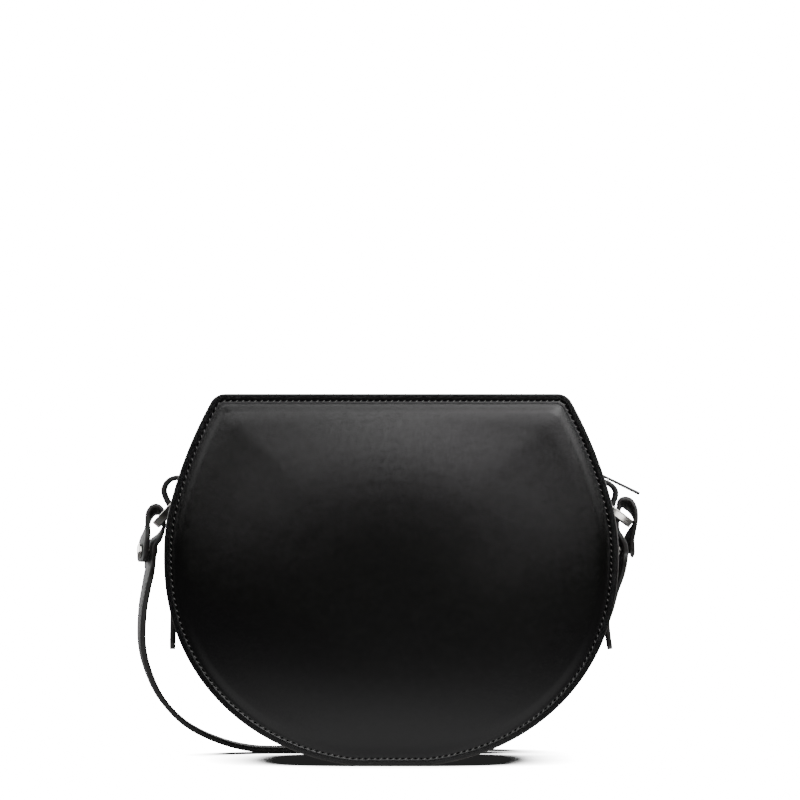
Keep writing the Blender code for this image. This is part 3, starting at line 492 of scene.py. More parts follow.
def mesh_data(name: str, mesh: bmesh.types.BMesh) -> bpy.types.Mesh:
    """Turns a bmesh into mesh data, and frees it.

    Args:
        name: The data's name.
        mesh: The bmesh.

    Returns:
        The mesh data.
    """
    data = bpy.data.meshes.new(name)
    mesh.to_mesh(data)
    mesh.free()
    return data


def add_object(name: str, data: bpy.types.ID) -> bpy.types.Object:
    """Adds an object with that data to the scene, at the origin.

    Args:
        name: The object's name.
        data: Its data.

    Returns:
        The object.
    """
    made = bpy.data.objects.new(name, data)
    bpy.context.scene.collection.objects.link(made)
    return made


def settle(mesh: bmesh.types.BMesh) -> None:
    """Turns a solid's faces outward, and moves it from the bag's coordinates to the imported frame.

    Args:
        mesh: The solid.
    """
    bmesh.ops.recalc_face_normals(mesh, faces=mesh.faces)
    if mesh.calc_volume(signed=True) < 0:
        bmesh.ops.reverse_faces(mesh, faces=mesh.faces)
    bmesh.ops.translate(mesh, verts=mesh.verts, vec=SHIFT)


def stamped(one: bpy.types.Mesh, places: Sequence[Matrix]) -> bmesh.types.BMesh:
    """Repeats a small mesh, which is then removed.

    Args:
        one: The mesh.
        places: The transform of each copy.

    Returns:
        One mesh of all the copies.
    """
    mesh = bmesh.new()
    for place in places:
        before = len(mesh.verts)
        mesh.from_mesh(one)
        mesh.verts.ensure_lookup_table()
        bmesh.ops.transform(mesh, matrix=place, verts=mesh.verts[before:])
    bpy.data.meshes.remove(one)
    return mesh


def smooth_line(rows: Sequence[Row], steps: int) -> list[Vector]:
    """Runs a smooth line through rows of numbers.

    Args:
        rows: Rows of the same length.
        steps: Steps between two rows.

    Returns:
        The rows of the line, first and last included.
    """
    places = [Vector(row) for row in rows]
    ends = [places[0] * 2 - places[1]] + places + [places[-1] * 2 - places[-2]]
    line = []
    for before, start, end, after in zip(ends, ends[1:], ends[2:], ends[3:]):
        for i in range(steps):
            t = i / steps
            line.append(
                start * (2 * t**3 - 3 * t**2 + 1) + (end - before) / 2 * (t**3 - 2 * t**2 + t)
                + end * (3 * t**2 - 2 * t**3) + (after - start) / 2 * (t**3 - t**2)
            )
    return line + [places[-1]]


class Skin:
    """A mesh that grows ring by ring with the extrude operator."""

    def __init__(self, first: Sequence[Vector]) -> None:
        """Starts from one closed ring of points.

        Args:
            first: The ring's points, in order.
        """
        self.mesh = bmesh.new()
        self.along = self.mesh.verts.layers.float.new("along")
        self.around = self.mesh.verts.layers.float.new("around")
        self.bend = self.mesh.verts.layers.float.new("bend")
        self.ring = [self.mesh.verts.new(point) for point in first]
        pairs = zip(self.ring, self.ring[1:] + self.ring[:1])
        self.first_edges = [self.mesh.edges.new(pair) for pair in pairs]
        self.edges = list(self.first_edges)
        self.mark(0.0, 0.0)

    def mark(self, along: float, bend: float) -> None:
        """Writes on the last ring where it lies on the piece, and how sharply the piece bends there.

        Args:
            along: Distance along the piece.
            bend: Sharpness of the bend, 0 to 1.
        """
        reach = 0.0
        for i, vertex in enumerate(self.ring):
            if i:
                reach += (vertex.co - self.ring[i - 1].co).length
            vertex[self.along] = along
            vertex[self.around] = reach
            vertex[self.bend] = bend

    def grow(self, points: Sequence[Vector], along: float = 0.0, bend: float = 0.0,
             slots: Sequence[int] = ()) -> None:
        """Extrudes the last ring to new places.

        Args:
            points: Places of the new ring, in the ring's order.
            along: Distance along the piece.
            bend: Sharpness of the bend, 0 to 1.
            slots: Material index of each face round the ring, or none for the first material.
        """
        made = bmesh.ops.extrude_edge_only(self.mesh, edges=self.edges)["geom"]
        index = {vertex: i for i, vertex in enumerate(self.ring)}
        ring: list = [None] * len(self.ring)
        for vertex in (item for item in made if isinstance(item, bmesh.types.BMVert)):
            others = (edge.other_vert(vertex) for edge in vertex.link_edges)
            ring[index[next(other for other in others if other in index)]] = vertex
        for vertex, point in zip(ring, points):
            vertex.co = point
        self.ring = ring
        pairs = zip(ring, ring[1:] + ring[:1])
        self.edges = [self.mesh.edges.get(pair) for pair in pairs]
        if slots:
            for edge, slot in zip(self.edges, slots):
                for face in edge.link_faces:
                    face.material_index = slot
        self.mark(along, bend)

    def cap(self) -> None:
        """Closes the first ring and the last."""
        for edges in (self.first_edges, self.edges):
            bmesh.ops.holes_fill(self.mesh, edges=edges)

    def join_ends(self) -> None:
        """Bridges the last ring to the first."""
        bmesh.ops.bridge_loops(self.mesh, edges=self.edges + self.first_edges)


def grown(rings: Sequence[Sequence[Vector]], reaches: Sequence[float] = (), bends: Sequence[float] = (),
          slots: Sequence[int] = ()) -> Skin:
    """Grows a skin through rings.

    Args:
        rings: The rings, with the same number of points.
        reaches: Distance of each ring along the piece, or none for zero.
        bends: Sharpness of the bend at each ring, or none for zero.
        slots: Material index of each face round a ring, or none for the first material.

    Returns:
        The skin, with its ends open.
    """
    still = [0.0] * len(rings)
    rows = list(zip(rings, reaches or still, bends or still))
    skin = Skin(rows[0][0])
    skin.mark(*rows[0][1:])
    for ring, reach, bend in rows[1:]:
        skin.grow(ring, reach, bend, slots)
    return skin


def swept(stations: Sequence[Station], profile: Sequence[Pair], slots: Sequence[int] = ()) -> Skin:
    """Carries a closed profile along outline stations.

    Args:
        stations: Places and outward directions.
        profile: The profile, as pairs of offset inside the outline and y.
        slots: Material index of each face round the profile, or none for the first material.

    Returns:
        The skin, with its ends closed.
    """
    rings, reaches = [], [0.0]
    for point, way in stations:
        rings.append([Vector(((point - way * a).x, b, (point - way * a).y)) for a, b in profile])
    for (last, _), (point, _) in zip(stations, stations[1:]):
        reaches.append(reaches[-1] + (point - last).length)
    skin = grown(rings, reaches, slots=slots)
    skin.cap()
    return skin


def corner_arcs(half_out: float, half_across: float, radius: float, steps: int) -> list[list[Pair]]:
    """Gives the four rounded corners of a bar's section.

    Args:
        half_out: Half the section's width, less the radius.
        half_across: Half its height, less the radius.
        radius: Radius of the corners.
        steps: Steps of each corner.

    Returns:
        The points of each corner, as pairs of out and across.
    """
    a, b, arcs = half_out, half_across, []
    for quarter, (x, y) in enumerate(((a, b), (-a, b), (-a, -b), (a, -b))):
        turns = [math.pi / 2 * (quarter + i / steps) for i in range(steps + 1)]
        arcs.append([(x + radius * math.cos(turn), y + radius * math.sin(turn)) for turn in turns])
    return arcs


def bent_bar(centre: Vector, first: Vector, second: Vector, half_first: float, half_second: float,
             corner: float, profile: Sequence[Pair]) -> bmesh.types.BMesh:
    """Sweeps a profile round a rectangle with rounded corners.

    Args:
        centre: Middle of the rectangle.
        first: One direction of its plane.
        second: The other direction.
        half_first: Half its width to the bar's middle.
        half_second: Half its length to the bar's middle.
        corner: Radius of its corners.
        profile: The bar's section, as pairs of outward and across.

    Returns:
        The closed mesh.
    """
    out, rings, steps = first.cross(second), [], 8
    for quarter in range(4):
        sign_first, sign_second = (1 if quarter in (0, 3) else -1), (1 if quarter < 2 else -1)
        middle = centre + first * sign_first * (half_first - corner)
        middle = middle + second * sign_second * (half_second - corner)
        for i in range(steps + 1):
            turn = math.pi / 2 * (quarter + i / steps)
            radial = first * math.cos(turn) + second * math.sin(turn)
            rings.append([middle + radial * (corner + a) + out * b for a, b in profile])
    skin = grown(rings)
    skin.join_ends()
    return skin.mesh


def make_piece(name: str, mesh: bmesh.types.BMesh, finishes: Sequence[Finish], body: Body,
               stands_for: Sequence[str] = (), flat_angle: float = 40.0) -> bpy.types.Object:
    """Turns a bmesh in the bag's own coordinates into a finished piece.

    Args:
        name: The piece's name.
        mesh: Its mesh, which is freed.
        finishes: Its finishes, in the order of its material indices.
        body: The body that it moves with.
        stands_for: CAD nodes that it replaces.
        flat_angle: Edges sharper than this many degrees stay sharp.

    Returns:
        The new object, at the origin.
    """
    settle(mesh)
    data = mesh_data(name, mesh)
    data.shade_smooth()
    data.set_sharp_from_angle(angle=math.radians(flat_angle))
    piece = add_object(name, data)
    for finish in finishes:
        data.materials.append(finish.material())
    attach(piece, body.value)
    if stands_for:
        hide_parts(*stands_for)
    LOG.info("%s: %d faces on %s", name, len(data.polygons), body.value)
    return piece


def refined(node: str, name: str, finish: Finish, body: Body, width: float,
            segments: int = 2) -> bpy.types.Object:
    """Makes a finer copy of a rigid solid: flat faces merged, and every sharp edge rounded.

    Args:
        node: The CAD node.
        name: The new piece's name.
        finish: Its finish.
        body: The body that it rides on.
        width: Width of the rounding.
        segments: Steps of the rounding.

    Returns:
        The new object, which replaces the node.
    """
    mesh = bmesh.new()
    mesh.from_mesh(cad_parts[node].data)
    bmesh.ops.transform(mesh, matrix=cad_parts[node].matrix_world, verts=mesh.verts)
    bmesh.ops.translate(mesh, verts=mesh.verts, vec=-SHIFT)
    bmesh.ops.remove_doubles(mesh, verts=mesh.verts, dist=WELD)
    bmesh.ops.dissolve_limit(mesh, angle_limit=math.radians(FLAT_DEGREES), verts=mesh.verts, edges=mesh.edges)
    sharp = [edge for edge in mesh.edges
             if len(edge.link_faces) == 2 and edge.calc_face_angle(0) > math.radians(SHARP_DEGREES)]
    bmesh.ops.bevel(mesh, geom=sharp, offset=width, offset_type="OFFSET", affect="EDGES", segments=segments,
                    profile=0.5, material=-1, clamp_overlap=True)
    return make_piece(name, mesh, [finish], body, [node])


@dataclass
class Outline:
    """The half moon outline of the two panels, as places and outward directions in x and z."""

    half_width: float = 0.110
    height: float = 0.180
    widest_z: float = 0.101
    base_cut: float = 0.001
    lower_power: float = 2.13
    side_straight: float = 0.002
    shoulder_radius: float = 0.091
    shoulder_turn: float = math.radians(14)
    side_radius: float = 0.210
    corner_radius: float = 0.008
    seam_z: float = 0.1393
    gap: float = 0.0003

    def arc(self, centre: Vector, radius: float, start: float, end: float, steps: int) -> list[Station]:
        """Gives places and directions on an arc, both ends included.

        Args:
            centre: The arc's centre.
            radius: Its radius.
            start: Its first angle.
            end: Its last angle.
            steps: Steps between them.

        Returns:
            Places and outward directions.
        """
        turns = [start + (end - start) * i / steps for i in range(steps + 1)]
        ways = [Vector((math.cos(turn), math.sin(turn))) for turn in turns]
        return [(centre + radius * way, way) for way in ways]

    def shoulder(self) -> Vector:
        """Gives the centre of the shoulder arc."""
        return Vector((self.half_width - self.shoulder_radius, self.widest_z + self.side_straight))

    def side_centre(self) -> Vector:
        """Gives the centre of the long side arc."""
        reach = self.shoulder_radius - self.side_radius
        return self.shoulder() + reach * Vector((math.cos(self.shoulder_turn), math.sin(self.shoulder_turn)))

    def seam_turn(self, z: float) -> float:
        """Gives the angle on the side arc at a height."""
        return math.asin((z - self.side_centre().y) / self.side_radius)

    def lower(self) -> list[Station]:
        """Gives the right half from the flat base to the seam.

        Returns:
            Places and outward directions.
        """
        power, drop, steps = self.lower_power, self.widest_z + self.base_cut, 48
        start = math.acos((self.widest_z / drop) ** (power / 2))
        made = []
        for i in range(steps + 1):
            turn = start + (math.pi / 2 - start) * i / steps
            x, z = math.sin(turn) ** (2 / power), max(math.cos(turn), 0) ** (2 / power)
            way = Vector((x ** (power - 1) / self.half_width, -(z ** (power - 1)) / drop)).normalized()
            made.append((Vector((self.half_width * x, self.widest_z - drop * z)), way))
        point, way = made[0]
        made[0] = (Vector((point.x, 0)), (way + Vector((0, -1))).normalized())
        made += self.arc(self.shoulder(), self.shoulder_radius, 0, self.shoulder_turn, 6)
        last = self.seam_turn(self.seam_z) - self.gap / 2 / self.side_radius
        return made + self.arc(self.side_centre(), self.side_radius, self.shoulder_turn, last, 5)[1:]

    def upper(self) -> list[Station]:
        """Gives the right half from the seam to the middle of the top.

        Returns:
            Places and outward directions.
        """
        centre, inner = self.side_centre(), self.side_radius - self.corner_radius
        corner_z = self.height - self.corner_radius
        last = math.asin((corner_z - centre.y) / inner)
        corner = Vector((centre.x + inner * math.cos(last), corner_z))
        first = self.seam_turn(self.seam_z) + self.gap / 2 / self.side_radius
        made = self.arc(centre, self.side_radius, first, last, 9)
        made += self.arc(corner, self.corner_radius, last, math.pi / 2, 8)[1:]
        return made + [(Vector((corner.x * (1 - i / 11), self.height)), Vector((0, 1))) for i in range(1, 11)]

    def mirror(self, stations: Sequence[Station]) -> list[Station]:
        """Gives the stations of the other half, in the opposite order."""
        return [(Vector((-a.x, a.y)), Vector((-b.x, b.y))) for a, b in reversed(stations)]

    def whole(self) -> list[Station]:
        """Gives the whole outline, from the base up the right side and round."""
        right = self.lower() + self.upper()[1:]
        return right + self.mirror(right)

    def band(self) -> list[Station]:
        """Gives the outline of the lower gusset, from the left seam to the right one."""
        return self.mirror(self.lower()) + self.lower()

    def crown(self) -> list[Station]:
        """Gives the outline of the zip gusset, from the right seam to the left one."""
        return self.upper() + self.mirror(self.upper())

    def inside(self, stations: Sequence[Station], offset: float) -> list[Vector]:
        """Gives the places at an offset inside the outline."""
        return [point - way * offset for point, way in stations]

    def web_x(self, z: float, offset: float) -> float:
        """Gives the half width at an offset inside the outline, at a height.

        Args:
            z: The height.
            offset: Distance inside the outline.

        Returns:
            The half width.
        """
        points = self.inside(self.lower() + self.upper(), offset)
        for low, high in zip(points, points[1:]):
            if low.y <= z <= high.y:
                return low.x + (high.x - low.x) * (z - low.y) / (high.y - low.y)
        return points[0].x


class Spaced:
    """Evenly spaced places along a line of points."""

    def __init__(self, points: Sequence[Vector], closed: bool = False) -> None:
        """Measures the line.

        Args:
            points: The line's points.
            closed: Whether the last point joins the first.
        """
        self.points = list(points) + ([points[0]] if closed else [])
        self.reach = [0.0]
        for a, b in zip(self.points, self.points[1:]):
            self.reach.append(self.reach[-1] + (b - a).length)

    def at(self, distance: float) -> tuple[int, float]:
        """Gives the segment and the share of it at a distance.

        Args:
            distance: Distance along the line.

        Returns:
            The segment's number, and the share of it.
        """
        low, high = 0, len(self.reach) - 2
        while low < high:
            middle = (low + high + 1) // 2
            low, high = (middle, high) if self.reach[middle] <= distance else (low, middle - 1)
        span = self.reach[low + 1] - self.reach[low]
        return low, min(max((distance - self.reach[low]) / span, 0), 1) if span else 0.0

    def place(self, distance: float) -> Station:
        """Gives the place at a distance and the direction there.

        Args:
            distance: Distance along the line.

        Returns:
            The place and the direction.
        """
        segment, share = self.at(distance)
        first, second = self.points[segment], self.points[segment + 1]
        return first.lerp(second, share), (second - first).normalized()


@dataclass
class Stitching:
    """A row of stitches: each a short thread that dips into its holes at both ends."""

    pitch: float = 0.0030
    length: float = 0.0017
    radius: float = 0.00021
    slant: float = math.radians(38)
    sunk: float = 0.00008
    hole: Pair = (0.00062, 0.00034)

    def stitch(self) -> bpy.types.Mesh:
        """Makes one stitch along x, lying in the plane z = 0.

        Returns:
            The stitch's mesh, a bent thread with closed ends.
        """
        rings = []
        for share, dip, wide in ((-0.5, -2.2, 0.7), (-0.36, 0.1, 1.0), (0.0, 0.55, 1.08), (0.36, 0.1, 1.0),
                                 (0.5, -2.2, 0.7)):
            rings.append([
                Vector((share * self.length, self.radius * wide * math.cos(turn),
                        self.radius * (dip + wide * math.sin(turn))))
                for turn in (math.tau * k / 6 for k in range(6))
            ])
        skin = grown(rings)
        skin.cap()
        return mesh_data("stitch", skin.mesh)

    def turned(self, way: Vector, out: Vector) -> Matrix:
        """Gives the turn of a stitch that slants across a row.

        Args:
            way: Direction along the row.
            out: The surface's normal.

        Returns:
            The rotation.
        """
        across = out.cross(way).normalized()
        way = across.cross(out).normalized()
        return Matrix((way, across, out)).transposed().to_4x4() @ Matrix.Rotation(self.slant, 4, "Z")

    def holes(self, spots: Sequence[Spot], lift: float) -> bmesh.types.BMesh:
        """Makes flat near-black discs of painted shade where the stitches come out of their holes, flush with
        the face.

        Args:
            spots: For each stitch: its place, the direction along the row and the surface's normal.
            lift: Height of the face over the stitches.

        Returns:
            One mesh of all the slots.
        """
        mesh = bmesh.new()
        for spot, way, out in spots:
            along = out.cross(way).normalized().cross(out).normalized()
            middle = Matrix.Translation(spot + along * self.pitch / 2 + out * lift)
            matrix = middle @ self.turned(way, out) @ Matrix.Diagonal((*self.hole, 1, 1))
            bmesh.ops.create_circle(mesh, cap_ends=True, segments=10, radius=1, matrix=matrix)
        return mesh

    def row(self, spots: Sequence[Spot]) -> bmesh.types.BMesh:
        """Lays stitches on a surface.

        Args:
            spots: For each stitch: its place, the direction along the row and the surface's normal.

        Returns:
            One mesh of all the stitches.
        """
        return stamped(self.stitch(), [Matrix.Translation(spot - out * self.sunk) @ self.turned(way, out)
                                       for spot, way, out in spots])


# Panels and gussets


@dataclass
class EndPanel:
    """One moulded leather end of the bag, with its painted rim and its seam."""

    side: Side
    outline: Outline = field(default_factory=Outline)
    half_depth: float = 0.035
    leather: float = 0.0015
    margin: float = 0.0045
    roll: float = 0.0050
    dome_rise: float = 0.0055
    roll_share: float = 0.20
    dome_power: float = 3.02
    dome_centre_z: float = 0.0905
    dome_width: float = 0.1005
    dome_height: float = 0.080
    corner_growth: float = 1.5
    roll_steps: int = 9
    face_steps: int = 26
    smoothing: int = 24
    edge_round: float = 0.00045
    stitch_inset: float = 0.0035
    groove: float = 0.00022
    groove_reach: float = 0.0004
    hole_lift: float = 0.00002
    gap: float = 0.0003
    gusset: float = 0.0014
    stitching: Stitching = field(default_factory=Stitching)

    def name(self) -> str:
        """Gives the panel's name."""
        return self.side.name.lower()

    def roll_rise(self, offset: float) -> float:
        """Gives how far the leather rises at an offset inside the outline, groove included.

        Args:
            offset: Distance inside the outline.

        Returns:
            The rise from the margin's plane.
        """
        t = min(max((offset - self.margin) / self.roll, 0), 1)
        hermite = self.roll_share * (3 * t**2 - 2 * t**3) + 0.127 * (t**3 - t**2)
        dip = self.groove * math.exp(-(((offset - self.stitch_inset) / self.groove_reach) ** 2))
        return self.dome_rise * hermite - dip

    def level(self, rise: float, depth: float = 0.0) -> float:
        """Gives the y of a point that rises from the margin's plane and lies deeper than the face."""
        return self.side.value * (self.half_depth + rise - depth)

    def inner(self, offset: float) -> list[Vector]:
        """Gives the places at an offset inside the outline, with corners that stay round.

        Beyond the margin the outline's corners are made rounder faster than the offset grows, since an
        offset larger than a corner's radius would turn the corner's points round and fold the leather.

        Args:
            offset: Distance inside the outline.

        Returns:
            One place for each station of the outline.
        """
        radius = self.outline.corner_radius + max(offset - self.margin, 0) * self.corner_growth
        outline = replace(self.outline, corner_radius=radius)
        return outline.inside(outline.whole(), offset)

    def rim_ring(self, offset: float, rise: float, depth: float = 0.0) -> list[Vector]:
        """Gives a ring at an offset inside the outline."""
        y = self.level(rise, depth)
        return [Vector((point.x, y, point.y)) for point in self.inner(offset)]

    def dome_ring(self, share: float, depth: float = 0.0) -> list[Vector]:
        """Gives a ring of the dome, drawn in towards the middle of the panel and rounder the further in.

        Args:
            share: Share of the way out from the panel's middle.
            depth: Depth under the face.

        Returns:
            The ring's points.
        """
        y = self.level(self.dome_rise * (1 - (1 - self.roll_share) * share**self.dome_power), depth)
        ring = []
        for point in self.inner(self.margin + self.roll):
            way = Vector((point.x, point.y - self.dome_centre_z))
            oval = 1 / math.hypot(way.x / self.dome_width, way.y / self.dome_height)
            spot = way * share * (1 + (oval - 1) * (1 - share**6))
            ring.append(Vector((spot.x, y, self.dome_centre_z + spot.y)))
        return ring

    def build_leather(self) -> None:
        """Grows the panel from the middle of its back, round the rim and over the face."""
        inside = [self.dome_ring(share, self.leather) for share in (0.1, 0.4, 0.7, 0.9, 1.0)]
        inside += [self.rim_ring(offset, self.roll_rise(offset), self.leather)
                   for offset in (0.007, 0.0045, 0.0016)]
        edge, corners = self.edge_round, [math.pi / 2 * i / 4 for i in range(5)]
        back = [self.rim_ring(edge * (1 - math.sin(t)), 0, self.leather - edge * (1 - math.cos(t)))
                for t in corners]
        front = [self.rim_ring(edge * (1 - math.cos(t)), 0, edge * (1 - math.sin(t))) for t in corners]
        # The margin's rings lie closest together at the stitched groove.
        offsets = [0.0010, 0.0020, 0.0028, 0.0031, 0.0035, 0.0039, 0.0042, 0.0045]
        offsets += [self.margin + self.roll * i / self.roll_steps for i in range(1, self.roll_steps)]
        flat = [self.rim_ring(offset, self.roll_rise(offset)) for offset in offsets]
        face = [self.dome_ring(1 - i / self.face_steps) for i in range(self.face_steps)]
        skin, count = Skin(inside[0]), len(inside[0])
        first_smoothed = (len(inside + back + front + flat) + 1) * count
        for group, slot in ((inside[1:], 0), (back + front, 1), (flat + face, 0)):
            for ring in group:
                skin.grow(ring, slots=[slot] * count)
        skin.cap()
        bmesh.ops.poke(skin.mesh, faces=[face for face in skin.mesh.faces if len(face.verts) > 4])
        skin.mesh.verts.ensure_lookup_table()
        dome = skin.mesh.verts[first_smoothed:]
        for _ in range(self.smoothing):
            bmesh.ops.smooth_vert(skin.mesh, verts=dome, factor=0.5, use_axis_y=True)
        make_piece(f"{self.name()}_panel_leather", skin.mesh, [PANEL_LEATHER, EDGE_PAINT], Body.BAG,
                   [f"{self.name()}_panel"], 50)

    def seam_spots(self, y: float, out: float) -> list[Spot]:
        """Gives the stitches of the seam on one face.

        Args:
            y: Level of the face.
            out: Sign of the face's normal along y.

        Returns:
            Place, direction and normal of each stitch.
        """
        places = self.outline.inside(self.outline.whole(), self.stitch_inset)
        line = Spaced([Vector((p.x, y, p.y)) for p in places], closed=True)
        count = round(line.reach[-1] / self.stitching.pitch)
        step = line.reach[-1] / count
        return [(*line.place((i + 0.5) * step), Vector((0, out, 0))) for i in range(count)]

    def build_seam(self) -> None:
        """Sews the panel to the gusset's flange, on both faces, with discs of painted hole shade outside."""
        outer = self.seam_spots(self.level(-self.groove), self.side.value)
        flange = self.half_depth - self.leather - self.gap - self.gusset
        inner = self.seam_spots(self.side.value * flange, -self.side.value)
        # The hole discs are painted shade: flat near-black discs for the shade inside the stitch holes.
        holes = self.stitching.holes(outer, self.groove + self.hole_lift)
        for part, mesh, finish in (("outside", self.stitching.row(outer), SEAM_THREAD),
                                   ("holes", holes, PAINTED_HOLE_SHADE),
                                   ("inside", self.stitching.row(inner), SEAM_THREAD)):
            make_piece(f"{self.name()}_seam_{part}", mesh, [finish], Body.BAG)

    def build(self) -> None:
        """Builds the leather and its seam, and dresses the hidden board and lining."""
        self.build_leather()
        self.build_seam()
        dress_node(f"{self.name()}_stiffener", BOARD)
        dress_node(f"{self.name()}_lining", LINING_CLOTH)


def dress_node(node: str, finish: Finish) -> None:
    """Gives a CAD node, whose shape stays, its finish.

    Args:
        node: The node.
        finish: Its finish.
    """
    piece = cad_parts[node]
    material = finish.material()
    if not piece.material_slots:
        piece.data.materials.append(material)
    for slot in piece.material_slots:
        slot.material = material


@dataclass
class Gussets:
    """The band round the sides and base, and the two strips beside the zip."""

    outline: Outline = field(default_factory=Outline)
    outer: float = 0.0332
    leather: float = 0.0014
    seam: float = 0.0040
    slot: float = 0.0055
    fold: float = 0.0016
    round: float = 0.0004
    edge_reach: float = 0.00005
    stitch_inset: float = 0.0022
    stitching: Stitching = field(default_factory=Stitching)

    def rounded(self, corners: Sequence[tuple[float, float, float]]) -> list[Pair]:
        """Rounds the corners of a closed profile.

        Args:
            corners: Across, along y and radius of each corner.

        Returns:
            The profile with each corner as four points.
        """
        made = []
        for i, (a, b, radius) in enumerate(corners):
            here = Vector((a, b))
            before, after = Vector(corners[i - 1][:2]), Vector(corners[(i + 1) % len(corners)][:2])
            into, away = (before - here).normalized(), (after - here).normalized()
            for share in (0, 1 / 3, 2 / 3, 1):
                start, end = here + into * radius, here + away * radius
                made.append(tuple(start * (1 - share) ** 2 + here * 2 * share * (1 - share) + end * share**2))
        return made

    def edge_slots(self, profile: Sequence[Pair]) -> list[int]:
        """Gives the painted slot to the faces that lie on the outline's own edge."""
        near = self.round + self.edge_reach
        return [int(max(a[0], b[0]) <= near) for a, b in zip(profile, [*profile[1:], profile[0]])]

    def build_band(self) -> None:
        """Builds the lower gusset as a channel with two flanges."""
        outer, inner = self.outer, self.outer - self.leather
        back, r, bend = self.seam + self.leather, self.round, self.fold
        corners = [(0, -outer, r), (0, -inner, r), (self.seam, -inner, bend * 0.5),
                   (self.seam, inner, bend * 0.5), (0, inner, r), (0, outer, r), (back, outer, bend),
                   (back, -outer, bend)]
        profile = self.rounded(corners)
        skin = swept(self.outline.band(), profile, self.edge_slots(profile))
        make_piece("side_and_base_gusset", skin.mesh, [GUSSET_LEATHER, EDGE_PAINT], Body.BAG,
                   ["lower_gusset"])

    def build_strips(self) -> None:
        """Builds the two strips beside the zip, each sewn to its tape along the slot."""
        outer, inner = self.outer, self.outer - self.leather
        back, r = self.seam + self.leather, self.round
        crown = self.outline.crown()
        for side in Side:
            corners = [(0, outer, r), (0, inner, r), (self.seam, inner, self.fold * 0.5),
                       (self.seam, self.slot, r), (back, self.slot, r), (back, outer, self.fold)]
            profile = [(a, side.value * b) for a, b in self.rounded(corners)]
            skin = swept(crown, profile, self.edge_slots(profile))
            name = f"zip_gusset_{side.name.lower()}"
            make_piece(f"{name}_leather", skin.mesh, [GUSSET_LEATHER, EDGE_PAINT], Body.BAG, [name])
            y = side.value * (self.slot + self.stitch_inset)
            places = self.outline.inside(crown, self.seam)
            line = Spaced([Vector((p.x, y, p.y)) for p in places])
            count = int(line.reach[-1] / self.stitching.pitch) - 1
            spots = []
            for i in range(count):
                spot, way = line.place((i + 1) * line.reach[-1] / (count + 1))
                spots.append((spot, way, Vector((way.z, 0, -way.x))))
            make_piece(f"{name}_seam", self.stitching.row(spots), [SEAM_THREAD], Body.BAG)

    def build(self) -> None:
        """Builds the band and the strips, and dresses the hidden lining."""
        self.build_band()
        self.build_strips()
        dress_node("gusset_lining", LINING_CLOTH)


# Zip


